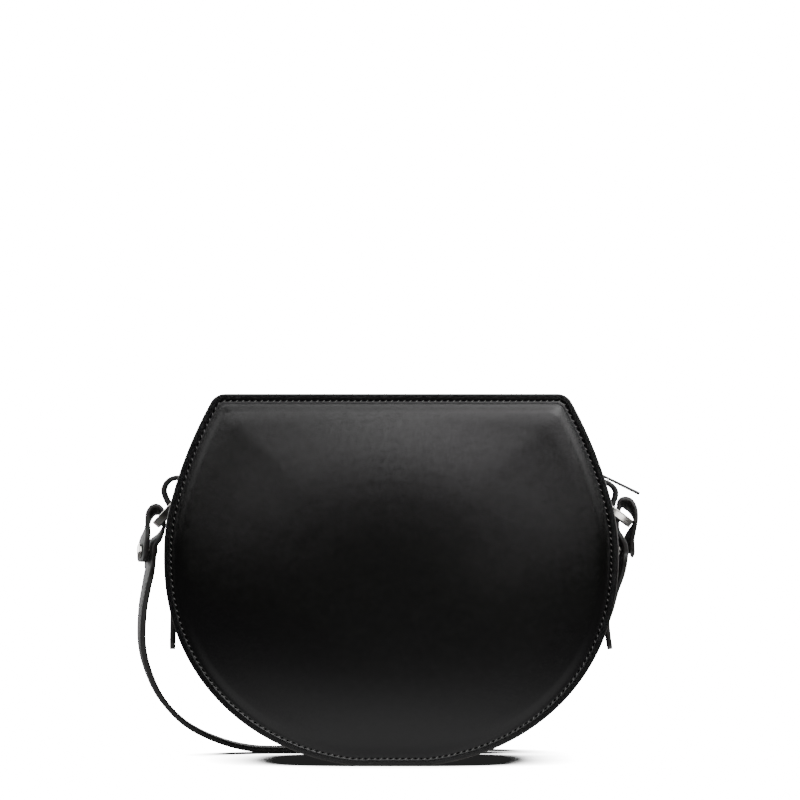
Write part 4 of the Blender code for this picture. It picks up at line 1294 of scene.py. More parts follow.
@dataclass
class Zip:
    """The zip over the top: two tapes with moulded chains, the slider, its pull and the end stop."""

    outline: Outline = field(default_factory=Outline)
    offset: float = 0.0060
    half_slot: float = 0.0024
    tape_width: float = 0.0106
    tape: float = 0.00035
    cord_rise: float = 0.0009
    cord_middle: float = 0.0008
    cord_reach: float = 0.0007
    tooth_pitch: float = 0.0030
    tooth_width: float = 0.00125
    tooth_reach: float = 0.0033
    tooth_height: float = 0.0011
    slider_z: float = 0.1440
    stop: float = 0.0022
    pull_pivot: Vector = field(default_factory=lambda: Vector((0.1002, 0, 0.1419)))
    pull_droop: float = math.radians(26.2)
    pull_swell: float = 0.0003
    swell_reach: float = 0.004
    swell_start: float = 0.75

    def middle(self) -> float:
        """Gives how far the chain lies inside the outline."""
        return self.outline.gap / 2 + self.offset - 0.0001

    def build_tape(self, side: Side) -> None:
        """Builds one tape: thin cloth with a corded inner edge.

        Args:
            side: The tape's side.
        """
        near, far, t = self.half_slot, self.half_slot + self.tape_width, self.tape
        turns = [math.radians(angle) for angle in range(140, -141, -35)]
        cord = [(self.cord_rise * math.sin(turn), near + self.cord_middle - self.cord_reach * math.cos(turn))
                for turn in turns]
        flat = near + 2 * self.cord_middle
        profile = [(t, far), (t, flat)] + cord + [(-t, flat), (-t, far)]
        profile = [(self.middle() + a, side.value * b) for a, b in profile]
        name = f"zip_tape_{side.name.lower()}"
        make_piece(f"{name}_cloth", swept(self.outline.crown(), profile).mesh, [TAPE_CLOTH], Body.BAG, [name])

    def tooth(self) -> bpy.types.Mesh:
        """Makes one tooth: a block that narrows at its waist, with a rounded nose.

        Returns:
            The tooth's mesh, along y from its foot to its nose.
        """
        rings = []
        for share, wide, high in ((0.0, 1.0, 0.8), (0.06, 1.15, 1.0), (0.45, 1.15, 1.0), (0.62, 0.72, 0.96),
                                  (0.78, 0.78, 0.96), (0.90, 1.12, 0.94), (0.97, 1.0, 0.8), (1.0, 0.6, 0.5)):
            a, b = self.tooth_width / 2 * wide, self.tooth_height * high
            y = -self.tooth_reach * share
            rings.append([Vector((x, y, z)) for x, z in (
                (a, b * 0.6), (a * 0.6, b), (-a * 0.6, b), (-a, b * 0.6), (-a, -b * 0.6), (-a * 0.6, -b),
                (a * 0.6, -b), (a, -b * 0.6))])
        skin = grown(rings)
        skin.cap()
        return mesh_data("tooth", skin.mesh)

    def build_teeth(self, side: Side) -> None:
        """Sets the teeth of one side along the closed chain.

        Args:
            side: The teeth's side.
        """
        outline, middle = self.outline, self.middle()
        line = Spaced([Vector((p.x, 0, p.y)) for p in outline.inside(outline.crown(), middle)])
        turn = outline.seam_turn(self.slider_z) - outline.seam_turn(outline.seam_z)
        slider = turn * (outline.side_radius - middle)
        start = slider + outline.gap + (0 if side is Side.FRONT else self.tooth_pitch / 2)
        count = int((line.reach[-1] - slider - self.tooth_pitch - self.stop) / self.tooth_pitch)
        across, places = Vector((0, side.value, 0)), []
        for i in range(count):
            spot, way = line.place(start + self.tooth_width / 2 + i * self.tooth_pitch)
            out = Vector((way.z, 0, -way.x))
            turned = Matrix((across.cross(out), across, out)).transposed().to_4x4()
            places.append(Matrix.Translation(spot + across * self.half_slot) @ turned)
        make_piece(f"zip_teeth_{side.name.lower()}", stamped(self.tooth(), places), [DARK_NICKEL], Body.BAG)

    def swell(self, pull: bpy.types.Object) -> None:
        """Thickens the pull's plate beyond its eye, so that it holds its own against the white background.

        Args:
            pull: The finished pull.
        """
        reach = Vector((math.cos(self.pull_droop), 0, -math.sin(self.pull_droop)))
        face = Vector((-reach.z, 0, reach.x))
        for vertex in pull.data.vertices:
            arm = vertex.co - SHIFT - self.pull_pivot
            rise = min(max(arm.dot(reach) / self.swell_reach - self.swell_start, 0), 1) * self.pull_swell
            vertex.co += face * math.copysign(rise, arm.dot(face))

    def build(self) -> None:
        """Builds both sides, the slider with its pull, and the stop."""
        for side in Side:
            self.build_tape(side)
            self.build_teeth(side)
        refined("zip_slider", "zip_slider_body", DARK_NICKEL, Body.SLIDER, 0.00018)
        self.swell(refined("zip_pull", "zip_pull_plate", DARK_NICKEL, Body.PULL, 0.00016))
        refined("zip_end_stop", "zip_end_clamp", DARK_NICKEL, Body.BAG, 0.00012)


# Strips: side tabs and straps


@dataclass
class Strip:
    """A sewn leather strip along a line: two bonded layers, painted edges, a stitched groove by each edge."""

    name: str
    rows: Sequence[Row]
    steps: int = 6
    width: float = 0.0120
    stitch_inset: float = 0.0019
    groove: float = 0.00016
    stand_ins: Sequence[str] = ()
    tip_length: float = 0.0
    tip_share: float = 0.30
    corner: float = 0.0030
    painted: float = 0.0006
    sharp_bend: float = 0.005
    bare_start: float = 0.003
    bare_end: float = 0.002
    stitching: Stitching = field(
        default_factory=lambda: Stitching(pitch=0.0029, length=0.0022, radius=0.00022))

    def section(self, thickness: float) -> tuple[list[Pair], list[int]]:
        """Gives the strip's cross-section.

        Args:
            thickness: Thickness of the strip there.

        Returns:
            Pairs of across and out round the section, and the material index of each face.
        """
        w, t = self.width / 2, thickness / 2
        inset, dip = self.stitch_inset, self.groove
        # Half of the top face: the crown, the stitched groove and the rounded, painted edge.
        top = [(0.0, 1.02 * t), (w - inset - 0.0007, t), (w - inset - 0.0002, t - dip),
               (w - inset + 0.0002, t - dip), (w - inset + 0.0007, t), (w - 0.00055, t * 0.97),
               (w - 0.0002, t * 0.80), (w - 0.00003, t * 0.45), (w - 0.00006, t * 0.10)]
        right = top + [(a, -b) for a, b in reversed(top)]
        ring = right[1:-1] + [right[-1]] + [(-a, b) for a, b in reversed(right[1:-1])] + [right[0]]
        painted = w - self.painted
        slots = [int(min(abs(a[0]), abs(b[0])) > painted - 1e-6) for a, b in zip(ring, ring[1:] + ring[:1])]
        return ring, slots

    def line(self) -> list[Vector]:
        """Gives the strip's rows of place, thickness and twist, kept above the floor.

        Returns:
            The rows.
        """
        rows = smooth_line(self.rows, self.steps)
        for row in rows:
            row[2] = max(row[2], row[3] / 2)
        return rows

    def frames(self, rows: Sequence[Vector]) -> list[tuple[Vector, Vector, Vector, Vector]]:
        """Gives place, direction, face normal and direction across at each row, with the strip's twist.

        Args:
            rows: The strip's rows.

        Returns:
            One set for each row.
        """
        points = [Vector(row[:3]) for row in rows]
        made = []
        for i, (point, row) in enumerate(zip(points, rows)):
            along = (points[min(i + 1, len(points) - 1)] - points[max(i - 1, 0)]).normalized()
            face = Vector((-along.z, 0, along.x)).normalized()
            across = face.cross(along).normalized()
            turned = Matrix.Rotation(-row[4], 3, along)
            made.append((point, along, turned @ face, turned @ across))
        return made

    def bends(self, rows: Sequence[Vector]) -> list[float]:
        """Gives how sharply the strip bends at each row, evened out over its neighbours.

        Args:
            rows: The strip's rows.

        Returns:
            One number for each row, 1 at the sharpest radius or less.
        """
        points = [Vector(row[:3]) for row in rows]
        made = [0.0] * len(points)
        for i in range(1, len(points) - 1):
            first, second = points[i] - points[i - 1], points[i + 1] - points[i]
            if first.length and second.length:
                curve = first.angle(second, 0) / (first.length + second.length) * 2
                made[i] = min(curve * self.sharp_bend, 1)
        near = [made[max(i - 3, 0):i + 4] for i in range(len(made))]
        return [sum(part) / len(part) for part in near]

    def narrow(self, reach: float, whole: float) -> float:
        """Gives the share of the full width at a distance along the strip, for its tip or its round corners.

        Args:
            reach: Distance along the strip.
            whole: The strip's length.

        Returns:
            The share.
        """
        left = whole - reach
        if left < self.tip_length:
            swell = math.sqrt(max(1 - (1 - left / self.tip_length) ** 2, 0))
            return self.tip_share + (1 - self.tip_share) * swell
        back = max(self.corner - min(reach, left), 0)
        return 1 - (self.corner - math.sqrt(self.corner**2 - back**2)) / (self.width / 2)

    def build_leather(self) -> bmesh.types.BMesh:
        """Grows the strip along its line.

        Returns:
            The strip's mesh.
        """
        rows = self.line()
        frames, bends = self.frames(rows), self.bends(rows)
        spaced = Spaced([Vector(row[:3]) for row in rows])
        rings = []
        for row, (point, _, face, across), reach in zip(rows, frames, spaced.reach):
            ring, slots = self.section(row[3])
            share = self.narrow(reach, spaced.reach[-1])
            rings.append([point + across * a * share + face * b for a, b in ring])
        skin = grown(rings, spaced.reach, bends, slots)
        skin.cap()
        for face in skin.mesh.faces:
            if len(face.verts) > 4:
                face.material_index = 1
        return skin.mesh

    def build_stitches(self) -> bmesh.types.BMesh:
        """Sews both edges, on both faces.

        Returns:
            One mesh of all the stitches.
        """
        rows = self.line()
        frames = self.frames(rows)
        spaced = Spaced([Vector(row[:3]) for row in rows])
        reach = spaced.reach[-1] - max(self.tip_length, self.bare_end)
        count = int((reach - self.bare_start) / self.stitching.pitch)
        spots = []
        for i in range(count):
            segment, share = spaced.at(self.bare_start + i * self.stitching.pitch)
            (point, along, face, across), (point2, _, face2, across2) = frames[segment], frames[segment + 1]
            point, face = point.lerp(point2, share), face.lerp(face2, share)
            across = across.lerp(across2, share)
            half = (rows[segment][3] + (rows[segment + 1][3] - rows[segment][3]) * share) / 2
            for edge in (-1, 1):
                seam = point + across * edge * (self.width / 2 - self.stitch_inset)
                for out in (-1, 1):
                    spots.append((seam + face * out * (half - self.groove), along, face * out))
        return self.stitching.row(spots)

    def build(self) -> bpy.types.Object:
        """Builds the strip and its stitches.

        Returns:
            The leather strip.
        """
        strip = make_piece(f"{self.name}_leather", self.build_leather(), [STRAP_LEATHER, STRAP_EDGE_PAINT],
                           Body.BAG, self.stand_ins)
        make_piece(f"{self.name}_stitches", self.build_stitches(), [STRAP_THREAD], Body.BAG)
        return strip


# Tab loops: height above the foot of the loop and distance out from the gusset. Tails: fall and distance out.
LEFT_TAB_LOOP = ((1.0, 0.075), (1.035, 0.42), (1.053, 0.75), (1.0, 1.05), (0.876, 1.20), (0.735, 1.19),
                 (0.575, 1.0), (0.398, 0.70), (0.239, 0.44), (0.10, 0.23))
RIGHT_TAB_LOOP = ((0.965, 0.075), (0.973, 0.42), (0.938, 0.68), (0.823, 0.95), (0.699, 1.0), (0.575, 0.89),
                  (0.434, 0.70), (0.283, 0.54), (0.12, 0.31))
LEFT_TAB_TAIL = ((0.25, 0.004), (0.55, 0.012), (1.0, 0.022))
RIGHT_TAB_TAIL = ((0.28, -0.020), (0.52, -0.032), (0.76, -0.016), (1.0, 0.018))


@dataclass
class SideTab:
    """A strip that leaves the seam, loops round the ring's bar, is sewn down the gusset and hangs free."""

    sign: int
    loop_shares: Sequence[Pair]
    tail_shares: Sequence[Pair]
    outline: Outline = field(default_factory=Outline)
    leather: float = 0.0024
    gusset: float = 0.0014
    seam: float = 0.0040
    gap: float = 0.0003
    loop_reach: float = 0.0092
    loop_height: float = 0.0200
    sewn_z: float = 0.0900
    tail: float = 0.0354

    def rows(self) -> list[Row]:
        """Gives the tab's line in the bag's coordinates.

        Returns:
            Rows of place, thickness and twist.
        """
        foot = self.outline.seam_z - self.loop_height - self.gusset
        made = []
        for rise, out in self.loop_shares:
            z = foot + self.loop_height * rise
            made.append((self.outline.web_x(z, self.seam) + self.loop_reach * out, z))
        seat = (self.gap + self.leather / 2) / math.cos(self.outline.shoulder_turn)
        for i in range(5):
            z = foot + (self.sewn_z - foot) * i / 4
            made.append((self.outline.web_x(z, self.seam) + seat, z))
        x, z = made[-1]
        made += [(x + self.tail * out, z - self.tail * fall) for fall, out in self.tail_shares]
        return [(self.sign * x, 0.0, z, self.leather, 0.0) for x, z in made]

    def build(self) -> None:
        """Builds the tab as a sewn strip."""
        name = "left" if self.sign < 0 else "right"
        Strip(f"{name}_tab", self.rows(), 5, stand_ins=[f"side_tab_{name}"]).build()


# Rings and rivets


@dataclass
class Ring:
    """A rectangular ring of flat wire, its bars deep and thin with softened edges."""

    sign: int
    hinge: Vector
    droop: float
    span: float = 0.0150
    bar: float = 0.0015
    depth: float = 0.0040
    corner: float = 0.0010
    soft: float = 0.00035
    slack: float = 0.0010
    strap: float = 0.0120

    def reach(self) -> Vector:
        """Gives the direction from the hinge bar to the outer bar."""
        return Vector((self.sign * math.cos(self.droop), 0, -math.sin(self.droop)))

    def outer_bar(self) -> Vector:
        """Gives the middle of the outer bar."""
        return self.hinge + self.reach() * self.span

    def profile(self) -> list[Pair]:
        """Gives the bar's section, with flat sides and rounded edges.

        Returns:
            Pairs of out and across the ring's plane.
        """
        arcs = corner_arcs(self.bar / 2 - self.soft, self.depth / 2 - self.soft, self.soft, 4)
        made = []
        for arc, after in zip(arcs, arcs[1:] + arcs[:1]):
            (x0, y0), (x1, y1) = arc[-1], after[0]
            made += arc + [(x0 + (x1 - x0) * share, y0 + (y1 - y0) * share) for share in (0.12, 0.88)]
        return made

    def build(self) -> None:
        """Sweeps the bar round the ring."""
        half_width = (self.strap + self.slack + self.bar) / 2
        middle = self.hinge + self.reach() * self.span / 2
        mesh = bent_bar(middle, Vector((0, 1, 0)), self.reach(), half_width, self.span / 2, self.corner,
                        self.profile())
        name = "left" if self.sign < 0 else "right"
        body = Body.LEFT_RING if self.sign < 0 else Body.RIGHT_RING
        make_piece(f"{name}_ring_wire", mesh, [NICKEL], body, [f"ring_{name}"], 60)


@dataclass
class Rivet:
    """A domed rivet through the strap's loop, with a small cap behind."""

    name: str
    middle: Vector
    axis: Vector
    seat: float
    post: float = 0.0015
    head: float = 0.0037
    rise: float = 0.0011
    cap: float = 0.0026
    gap: float = 0.0003

    def spun(self, profile: Sequence[Pair]) -> bmesh.types.BMesh:
        """Spins a profile of radius and reach about the rivet's axis.

        Args:
            profile: The open profile, from the head's pole to the cap's.

        Returns:
            The closed mesh.
        """
        mesh = bmesh.new()
        way = self.axis.normalized()
        across = way.orthogonal().normalized()
        points = [mesh.verts.new(self.middle + across * radius + way * reach) for radius, reach in profile]
        edges = [mesh.edges.new(pair) for pair in zip(points, points[1:])]
        bmesh.ops.spin(mesh, geom=points + edges, cent=self.middle, axis=way, angle=math.tau, steps=40,
                       use_merge=True)
        bmesh.ops.remove_doubles(mesh, verts=mesh.verts, dist=0.000001)
        return mesh

    def build(self) -> None:
        """Turns the head, the post and the cap in one piece."""
        top, foot, rise, head = self.seat, -self.seat - self.gap, self.rise, self.head
        profile = [(head * wide, top + rise * high) for wide, high in (
            (0, 1), (0.35, 0.97), (0.62, 0.86), (0.80, 0.68), (0.90, 0.52), (0.93, 0.40), (0.97, 0.36),
            (1, 0.24), (0.99, 0.08), (0.95, 0))]
        profile += [(self.post, top), (self.post, foot)]
        profile += [(self.cap * wide, foot - rise * high) for wide, high in (
            (0.96, 0), (1, 0.12), (0.97, 0.42), (0.72, 0.72), (0.35, 0.82), (0, 0.84))]
        make_piece(f"{self.name}_dome", self.spun(profile), [NICKEL], Body.BAG, [self.name], 50)


# The two straps with their buckle


# Loops: out from and up from the ring's outer bar, as shares of the loop's size, and share of the thickness.
LEFT_LOOP = (
    (0.274, -0.723, 1.00), (0.270, -0.577, 1.00), (0.258, -0.431, 1.00), (0.228, -0.277, 1.00),
    (0.190, -0.123, 0.93), (0.172, 0.054, 0.86), (0.115, 0.208, 0.79), (0.008, 0.273, 0.71),
    (-0.092, 0.200, 0.64), (-0.127, 0.046, 0.61), (-0.115, -0.096, 0.64), (-0.048, -0.238, 0.79),
    (0.074, -0.369, 0.93), (0.112, -0.508, 1.00), (0.130, -0.700, 1.00), (0.150, -0.912, 1.00),
)
RIGHT_LOOP = (
    (-0.020, -0.581, 0.93), (-0.009, -0.450, 0.93), (0.004, -0.296, 0.93), (0.054, -0.158, 0.86),
    (0.104, -0.027, 0.71), (0.115, 0.096, 0.64), (0.065, 0.250, 0.71), (-0.031, 0.369, 0.79),
    (-0.138, 0.388, 0.79), (-0.196, 0.296, 0.79), (-0.215, 0.150, 0.75), (-0.242, -0.004, 0.79),
    (-0.235, -0.150, 0.86), (-0.181, -0.281, 0.93), (-0.138, -0.412, 1.00), (-0.131, -0.565, 1.00),
    (-0.146, -0.758, 1.00),
)
# For each row of a loop: how far the strap turns about its length, and how far its layers lean, as shares.
LEFT_TWIST = (-1.0, -1.0, -0.95, -0.8, -0.4, 0, 0.7, 1.2, 0.7, 0.1, 0.2, 0.5, 0.8, 0.95, 1.0, 0.9)
LEFT_LEAN = (1.0, 1.0, 0.95, 0.8, 0.4, 0.1, 0, 0, 0, 0, 0.2, 0.5, 0.8, 0.95, 1.0, 0.9)
RIGHT_TWIST = (-0.8, -0.8, -0.6, -0.3, 0, -0.1, -0.7, -1.2, -1.0, -0.3, 0, 0, 0.1, 0.4, 0.7, 0.8, 0.6)
RIGHT_LEAN = (0.8, 0.8, 0.6, 0.3, 0.1, 0, 0, 0, 0, 0, 0, 0, 0.1, 0.4, 0.7, 0.8, 0.6)
# Free runs: x, y and z as shares of the half width, the half depth and the height.
LONG_ROUTE = (
    (-1.099, 0.131, 0.470), (-1.122, 0.329, 0.398), (-1.129, 0.471, 0.309), (-1.105, 0.626, 0.231),
    (-1.047, 0.771, 0.151), (-0.945, 0.903, 0.081), (-0.809, 1.040, 0.034), (-0.655, 1.189, 0.006),
    (-0.473, 1.274, 0.000), (-0.182, 1.286, 0.000), (0.145, 1.286, 0.000), (0.309, 1.303, 0.012),
    (0.455, 1.343, 0.046), (0.573, 1.383, 0.104), (0.659, 1.417, 0.182), (0.705, 1.440, 0.277),
    (0.714, 1.457, 0.382), (0.682, 1.480, 0.504), (0.582, 1.509, 0.627), (0.400, 1.543, 0.720),
    (0.200, 1.571, 0.764), (0.000, 1.600, 0.781), (-0.200, 1.629, 0.764), (-0.400, 1.663, 0.720),
    (-0.582, 1.691, 0.627), (-0.682, 1.714, 0.504), (-0.714, 1.726, 0.382), (-0.705, 1.734, 0.277),
    (-0.659, 1.737, 0.182), (-0.573, 1.737, 0.104), (-0.473, 1.737, 0.042), (-0.373, 1.737, 0.008),
)
# How far each strap still turns after its loop.
LONG_TWIST = (0.8, 0.7, 0.6, 0.5, 0.35, 0.2, 0.1)
SHORT_TWIST = (0.5, 0.35, 0.2, 0.1)
SHORT_ROUTE = (
    (1.022, 0.149, 0.498), (1.005, 0.314, 0.457), (0.989, 0.560, 0.406), (0.969, 0.760, 0.359),
    (0.945, 0.926, 0.320), (0.911, 1.086, 0.276), (0.862, 1.240, 0.228), (0.795, 1.400, 0.181),
    (0.718, 1.537, 0.130), (0.627, 1.646, 0.076), (0.523, 1.714, 0.031), (0.418, 1.737, 0.007),
)


@dataclass
class Straps:
    """The long punched strap and the short buckled one, from the rings to the buckle behind the bag."""

    left: Ring
    right: Ring
    half_width: float = 0.110
    half_depth: float = 0.035
    height: float = 0.180
    width: float = 0.0120
    leather: float = 0.0028
    gap: float = 0.0003
    loop: float = 0.0260
    twist: float = math.radians(20)
    skived: float = 0.0014
    end: float = 0.0020
    buckle_x: float = -0.008
    buckle_length: float = 0.0160
    bar: float = 0.0012
    tilt: float = math.radians(12)
    keeper_leather: float = 0.0012
    keeper_width: float = 0.0050
    keeper_reach: float = 0.0210
    keeper_soft: float = 0.0003
    play: float = 0.0010
    fold: float = 0.0110
    tip_reach: float = 0.0370
    hole_pitch: float = 0.0090
    hole_length: float = 0.0070
    hole_width: float = 0.0032
    hole_setback: float = 0.0042
    punch: float = 0.014
    punch_z: float = 0.006
    overshoot: float = 0.001
    prong: float = 0.0010
    prong_width: float = 0.0020
    loop_part: float = 0.0300
    loop_inside: float = 0.0900
    loop_follows: float = 0.0035
    loop_stays: float = 0.0125

    def hinge(self) -> Vector:
        """Gives the middle of the buckle's bar."""
        return Vector((self.buckle_x, LONG_ROUTE[-1][1] * self.half_depth, self.skived + self.gap + self.bar))

    def lift(self) -> float:
        """Gives how far the keeper raises the strap off the floor."""
        return self.keeper_leather + self.gap

    def loop_rows(self, ring: Ring, table: Sequence[Row], leans: Sequence[float],
                  twists: Sequence[float]) -> list[Row]:
        """Gives the rows of the loop round a ring's outer bar.

        Args:
            ring: The ring.
            table: Shares of out, up and thickness.
            leans: How far the layers lean round each other there.
            twists: How far the strap turns about its own length there.

        Returns:
            Rows of place, thickness and twist.
        """
        bar, level, rows = ring.outer_bar(), table[-1][0], []
        for (out, rise, share), lean, twist in zip(table, leans, twists):
            y = ring.sign * (out - level) * self.loop * math.tan(self.twist * lean)
            rows.append((bar.x + ring.sign * out * self.loop, y, bar.z + rise * self.loop,
                         share * self.leather, self.twist * twist))
        return rows

    def route_rows(self, table: Sequence[Row], twists: Sequence[float]) -> list[Row]:
        """Gives the rows of a strap's free run behind the bag.

        Args:
            table: Shares of x, y and z.
            twists: Shares of the twist at the first rows.

        Returns:
            Rows of place, thickness and twist.
        """
        turns = list(twists) + [0] * (len(table) - len(twists))
        return [(x * self.half_width, y * self.half_depth, self.leather / 2 + z * self.height, self.leather,
                 turn * self.twist) for (x, y, z), turn in zip(table, turns)]

    def long_end(self) -> list[Row]:
        """Gives the punched end, through the buckle and the keeper to its tip.

        Returns:
            Rows of place, thickness and twist.
        """
        hinge, half, length = self.hinge(), self.end / 2, self.buckle_length
        over = hinge.z + self.bar + self.gap + self.skived + self.gap + half
        rest = self.lift() + self.leather + self.gap + half
        shares = (
            (-1.50, half, 1.0), (-1.19, half, 1.0), (-0.94, half, 1.1), (-0.66, over, 0.40),
            (-0.34, over, 0.76), (0.0, over, 1.0), (0.34, over, 0.88), (0.70, rest, 0.97), (1.03, rest, 0.97),
            (self.keeper_reach / length, rest, 1.0), (1.75, rest, 1.0), (self.tip_reach / length, rest, 0.93),
        )
        return [(hinge.x + reach * length, hinge.y, height * share, self.end, 0)
                for reach, height, share in shares]

    def short_end(self) -> list[Row]:
        """Gives the buckle end, round the bar and back over itself.

        Returns:
            Rows of place, thickness and twist.
        """
        hinge, lift, full = self.hinge(), self.lift(), self.leather
        half, length = self.skived / 2, self.buckle_length
        low = (
            (2.75, full / 2 + lift / 4, full), (2.25, full / 2 + lift * 2 / 3, full),
            (1.75, full / 2 + lift, full), (self.keeper_reach / length, full / 2 + lift, full),
            (1.03, half * 2 + lift * 2 / 3, (full + self.skived) / 2),
            (0.72, half + lift * 2 / 5, self.skived), (0.42, half, self.skived), (0.15, half, self.skived),
        )
        rows = [(hinge.x + reach * length, hinge.y, z, thickness, 0) for reach, z, thickness in low]
        radius = self.bar + self.gap + half
        places = [(radius * math.cos(turn), hinge.z + radius * math.sin(turn))
                  for turn in map(math.radians, (-90, -130, -170, 150, 110, 80))]
        top, laid = hinge.z + radius, self.skived + self.gap + half
        places += [(self.fold * 0.34, (top + laid) / 2), (self.fold * 0.66, laid + lift / 4),
                   (self.fold, laid + lift * 2 / 5 + self.gap)]
        return rows + [(hinge.x + x, hinge.y, z, self.skived, 0) for x, z in places]

    def cut(self, piece: bpy.types.Object, cutter: bmesh.types.BMesh) -> None:
        """Takes a solid out of a finished piece.

        Args:
            piece: The piece.
            cutter: The solid in the bag's coordinates, which is freed.
        """
        settle(cutter)
        tool = add_object("cutter", mesh_data("cutter", cutter))
        tool.data.materials.append(STRAP_EDGE_PAINT.material())
        step = piece.modifiers.new("cut", "BOOLEAN")
        step.operation, step.solver, step.object = "DIFFERENCE", "MANIFOLD", tool
        bpy.context.view_layer.update()
        shaped = piece.evaluated_get(bpy.context.evaluated_depsgraph_get())
        result = bpy.data.meshes.new_from_object(shaped)
        piece.modifiers.remove(step)
        piece.data = result
        bpy.data.objects.remove(tool)

    def holes(self) -> bmesh.types.BMesh:
        """Makes the solids of the punched holes: oval, along the strap.

        Returns:
            One mesh of all the solids.
        """
        mesh, hinge = bmesh.new(), self.hinge()
        straight, radius = (self.hole_length - self.hole_width) / 2, self.hole_width / 2
        for step in range(-2, 5):
            x = hinge.x - self.hole_setback + self.hole_pitch * step
            place = Matrix.Translation((x, hinge.y, self.punch_z))
            for vertex in self.pin(mesh, radius, self.punch, place):
                if abs(vertex.co.x - x) > 1e-6:
                    vertex.co.x += math.copysign(straight, vertex.co.x - x)
        return mesh

    def pin(self, mesh: bmesh.types.BMesh, radius: float, length: float,
            place: Matrix) -> list[bmesh.types.BMVert]:
        """Adds a round pin to a mesh, and gives its corners."""
        return bmesh.ops.create_cone(mesh, cap_ends=True, cap_tris=False, segments=24, radius1=radius,
                                     radius2=radius, depth=length, matrix=place)["verts"]

    def block(self, low: Sequence[float], high: Sequence[float]) -> bmesh.types.BMesh:
        """Makes a box between two corners.

        Args:
            low: The lowest corner.
            high: The highest corner.

        Returns:
            The box.
        """
        mesh = bmesh.new()
        size = [b - a for a, b in zip(low, high)]
        middle = [(a + b) / 2 for a, b in zip(low, high)]
        bmesh.ops.create_cube(mesh, size=1, matrix=Matrix.Translation(middle) @ Matrix.Diagonal((*size, 1)))
        return mesh

    def rivet(self, ring: Ring) -> Rivet:
        """Places the rivet that closes a strap's loop.

        Args:
            ring: The ring that the loop hangs from.

        Returns:
            The rivet.
        """
        bar, left = ring.outer_bar(), ring.sign < 0
        table = LEFT_LOOP if left else RIGHT_LOOP
        layers = (table[1], table[2], table[13]) if left else (table[0], table[1], table[15])
        turn = self.twist * (LEFT_LEAN if left else RIGHT_LEAN)[0]
        outer = (layers[0][0] + layers[1][0]) / 2
        out, rise = (outer + layers[2][0]) / 2, (layers[0][1] + layers[1][1]) / 2
        y = ring.sign * (out - table[-1][0]) * self.loop * math.tan(turn)
        middle = Vector((bar.x + ring.sign * out * self.loop, y, bar.z + rise * self.loop))
        spread = (outer - layers[2][0]) / 2 * self.loop / math.cos(turn)
        axis = Vector((math.cos(turn), math.sin(turn), 0)) * ring.sign
        seat = spread + self.leather / 2 + self.gap
        return Rivet("rivet_left" if left else "rivet_right", middle, axis, seat)

    def post_hole(self, rivet: Rivet) -> bmesh.types.BMesh:
        """Makes the solid of the hole that a rivet's post passes through.

        Args:
            rivet: The rivet.

        Returns:
            The solid.
        """
        turned = rivet.axis.to_track_quat("Z", "Y").to_matrix().to_4x4()
        mesh = bmesh.new()
        self.pin(mesh, rivet.post + self.gap, 2 * rivet.seat + 2 * self.overshoot,
                 Matrix.Translation(rivet.middle) @ turned)
        return mesh

    def hang(self, name: str, ring: Ring) -> None:
        """Parts a strap's loop from its run, into a piece of its own.

        Args:
            name: The strap's name, which its pieces begin with.
            ring: The ring that the loop hangs from.
        """
        bar = SHIFT + ring.outer_bar()
        low, body = bar.z - self.loop_part, Body.LEFT_RING if ring.sign < 0 else Body.RIGHT_RING
        for part in ("leather", "stitches"):
            run = bpy.data.objects[f"{name}_{part}"]
            mesh = bmesh.new()
            mesh.from_mesh(run.data)
            if part == "leather":
                bmesh.ops.bisect_plane(mesh, geom=[*mesh.verts, *mesh.edges, *mesh.faces],
                                       plane_co=(0, 0, low), plane_no=(0, 0, 1))
            top = mesh.copy()
            for half, upper in ((mesh, False), (top, True)):
                middles = [(face, face.calc_center_median()) for face in half.faces]
                gone = [face for face, at in middles
                        if (at.z > low and at.x * ring.sign > self.loop_inside) != upper]
                bmesh.ops.delete(half, geom=gone, context="FACES")
            mesh.to_mesh(run.data)
            data = run.data.copy()
            top.to_mesh(data)
            loop = add_object(f"{name}_loop_{part}", data)
            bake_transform(loop)
            mesh.free()
            top.free()

    def build_straps(self) -> None:
        """Builds both straps with their holes, and the rivets."""
        hinge = self.hinge()
        rows = self.loop_rows(self.left, LEFT_LOOP, LEFT_LEAN, LEFT_TWIST)
        rows += self.route_rows(LONG_ROUTE, LONG_TWIST) + self.long_end()
        long = Strip("long_strap", rows, 6, stand_ins=["strap_long"], tip_length=0.007).build()
        self.cut(long, self.holes())
        rivet = self.rivet(self.left)
        self.cut(long, self.post_hole(rivet))
        self.hang("long_strap", self.left)
        rivet.build()
        rows = self.loop_rows(self.right, RIGHT_LOOP, RIGHT_LEAN, RIGHT_TWIST)
        rows += self.route_rows(SHORT_ROUTE, SHORT_TWIST) + self.short_end()
        short = Strip("short_strap", rows, 6, stand_ins=["strap_short"]).build()
        outer = self.bar + self.gap + self.skived + self.gap
        slot = self.prong_width / 2 + self.gap
        self.cut(short, self.block((hinge.x - outer, hinge.y - slot, -self.overshoot),
                                   (hinge.x + outer, hinge.y + slot, hinge.z + outer)))
        rivet = self.rivet(self.right)
        self.cut(short, self.post_hole(rivet))
        self.hang("short_strap", self.right)
        rivet.build()

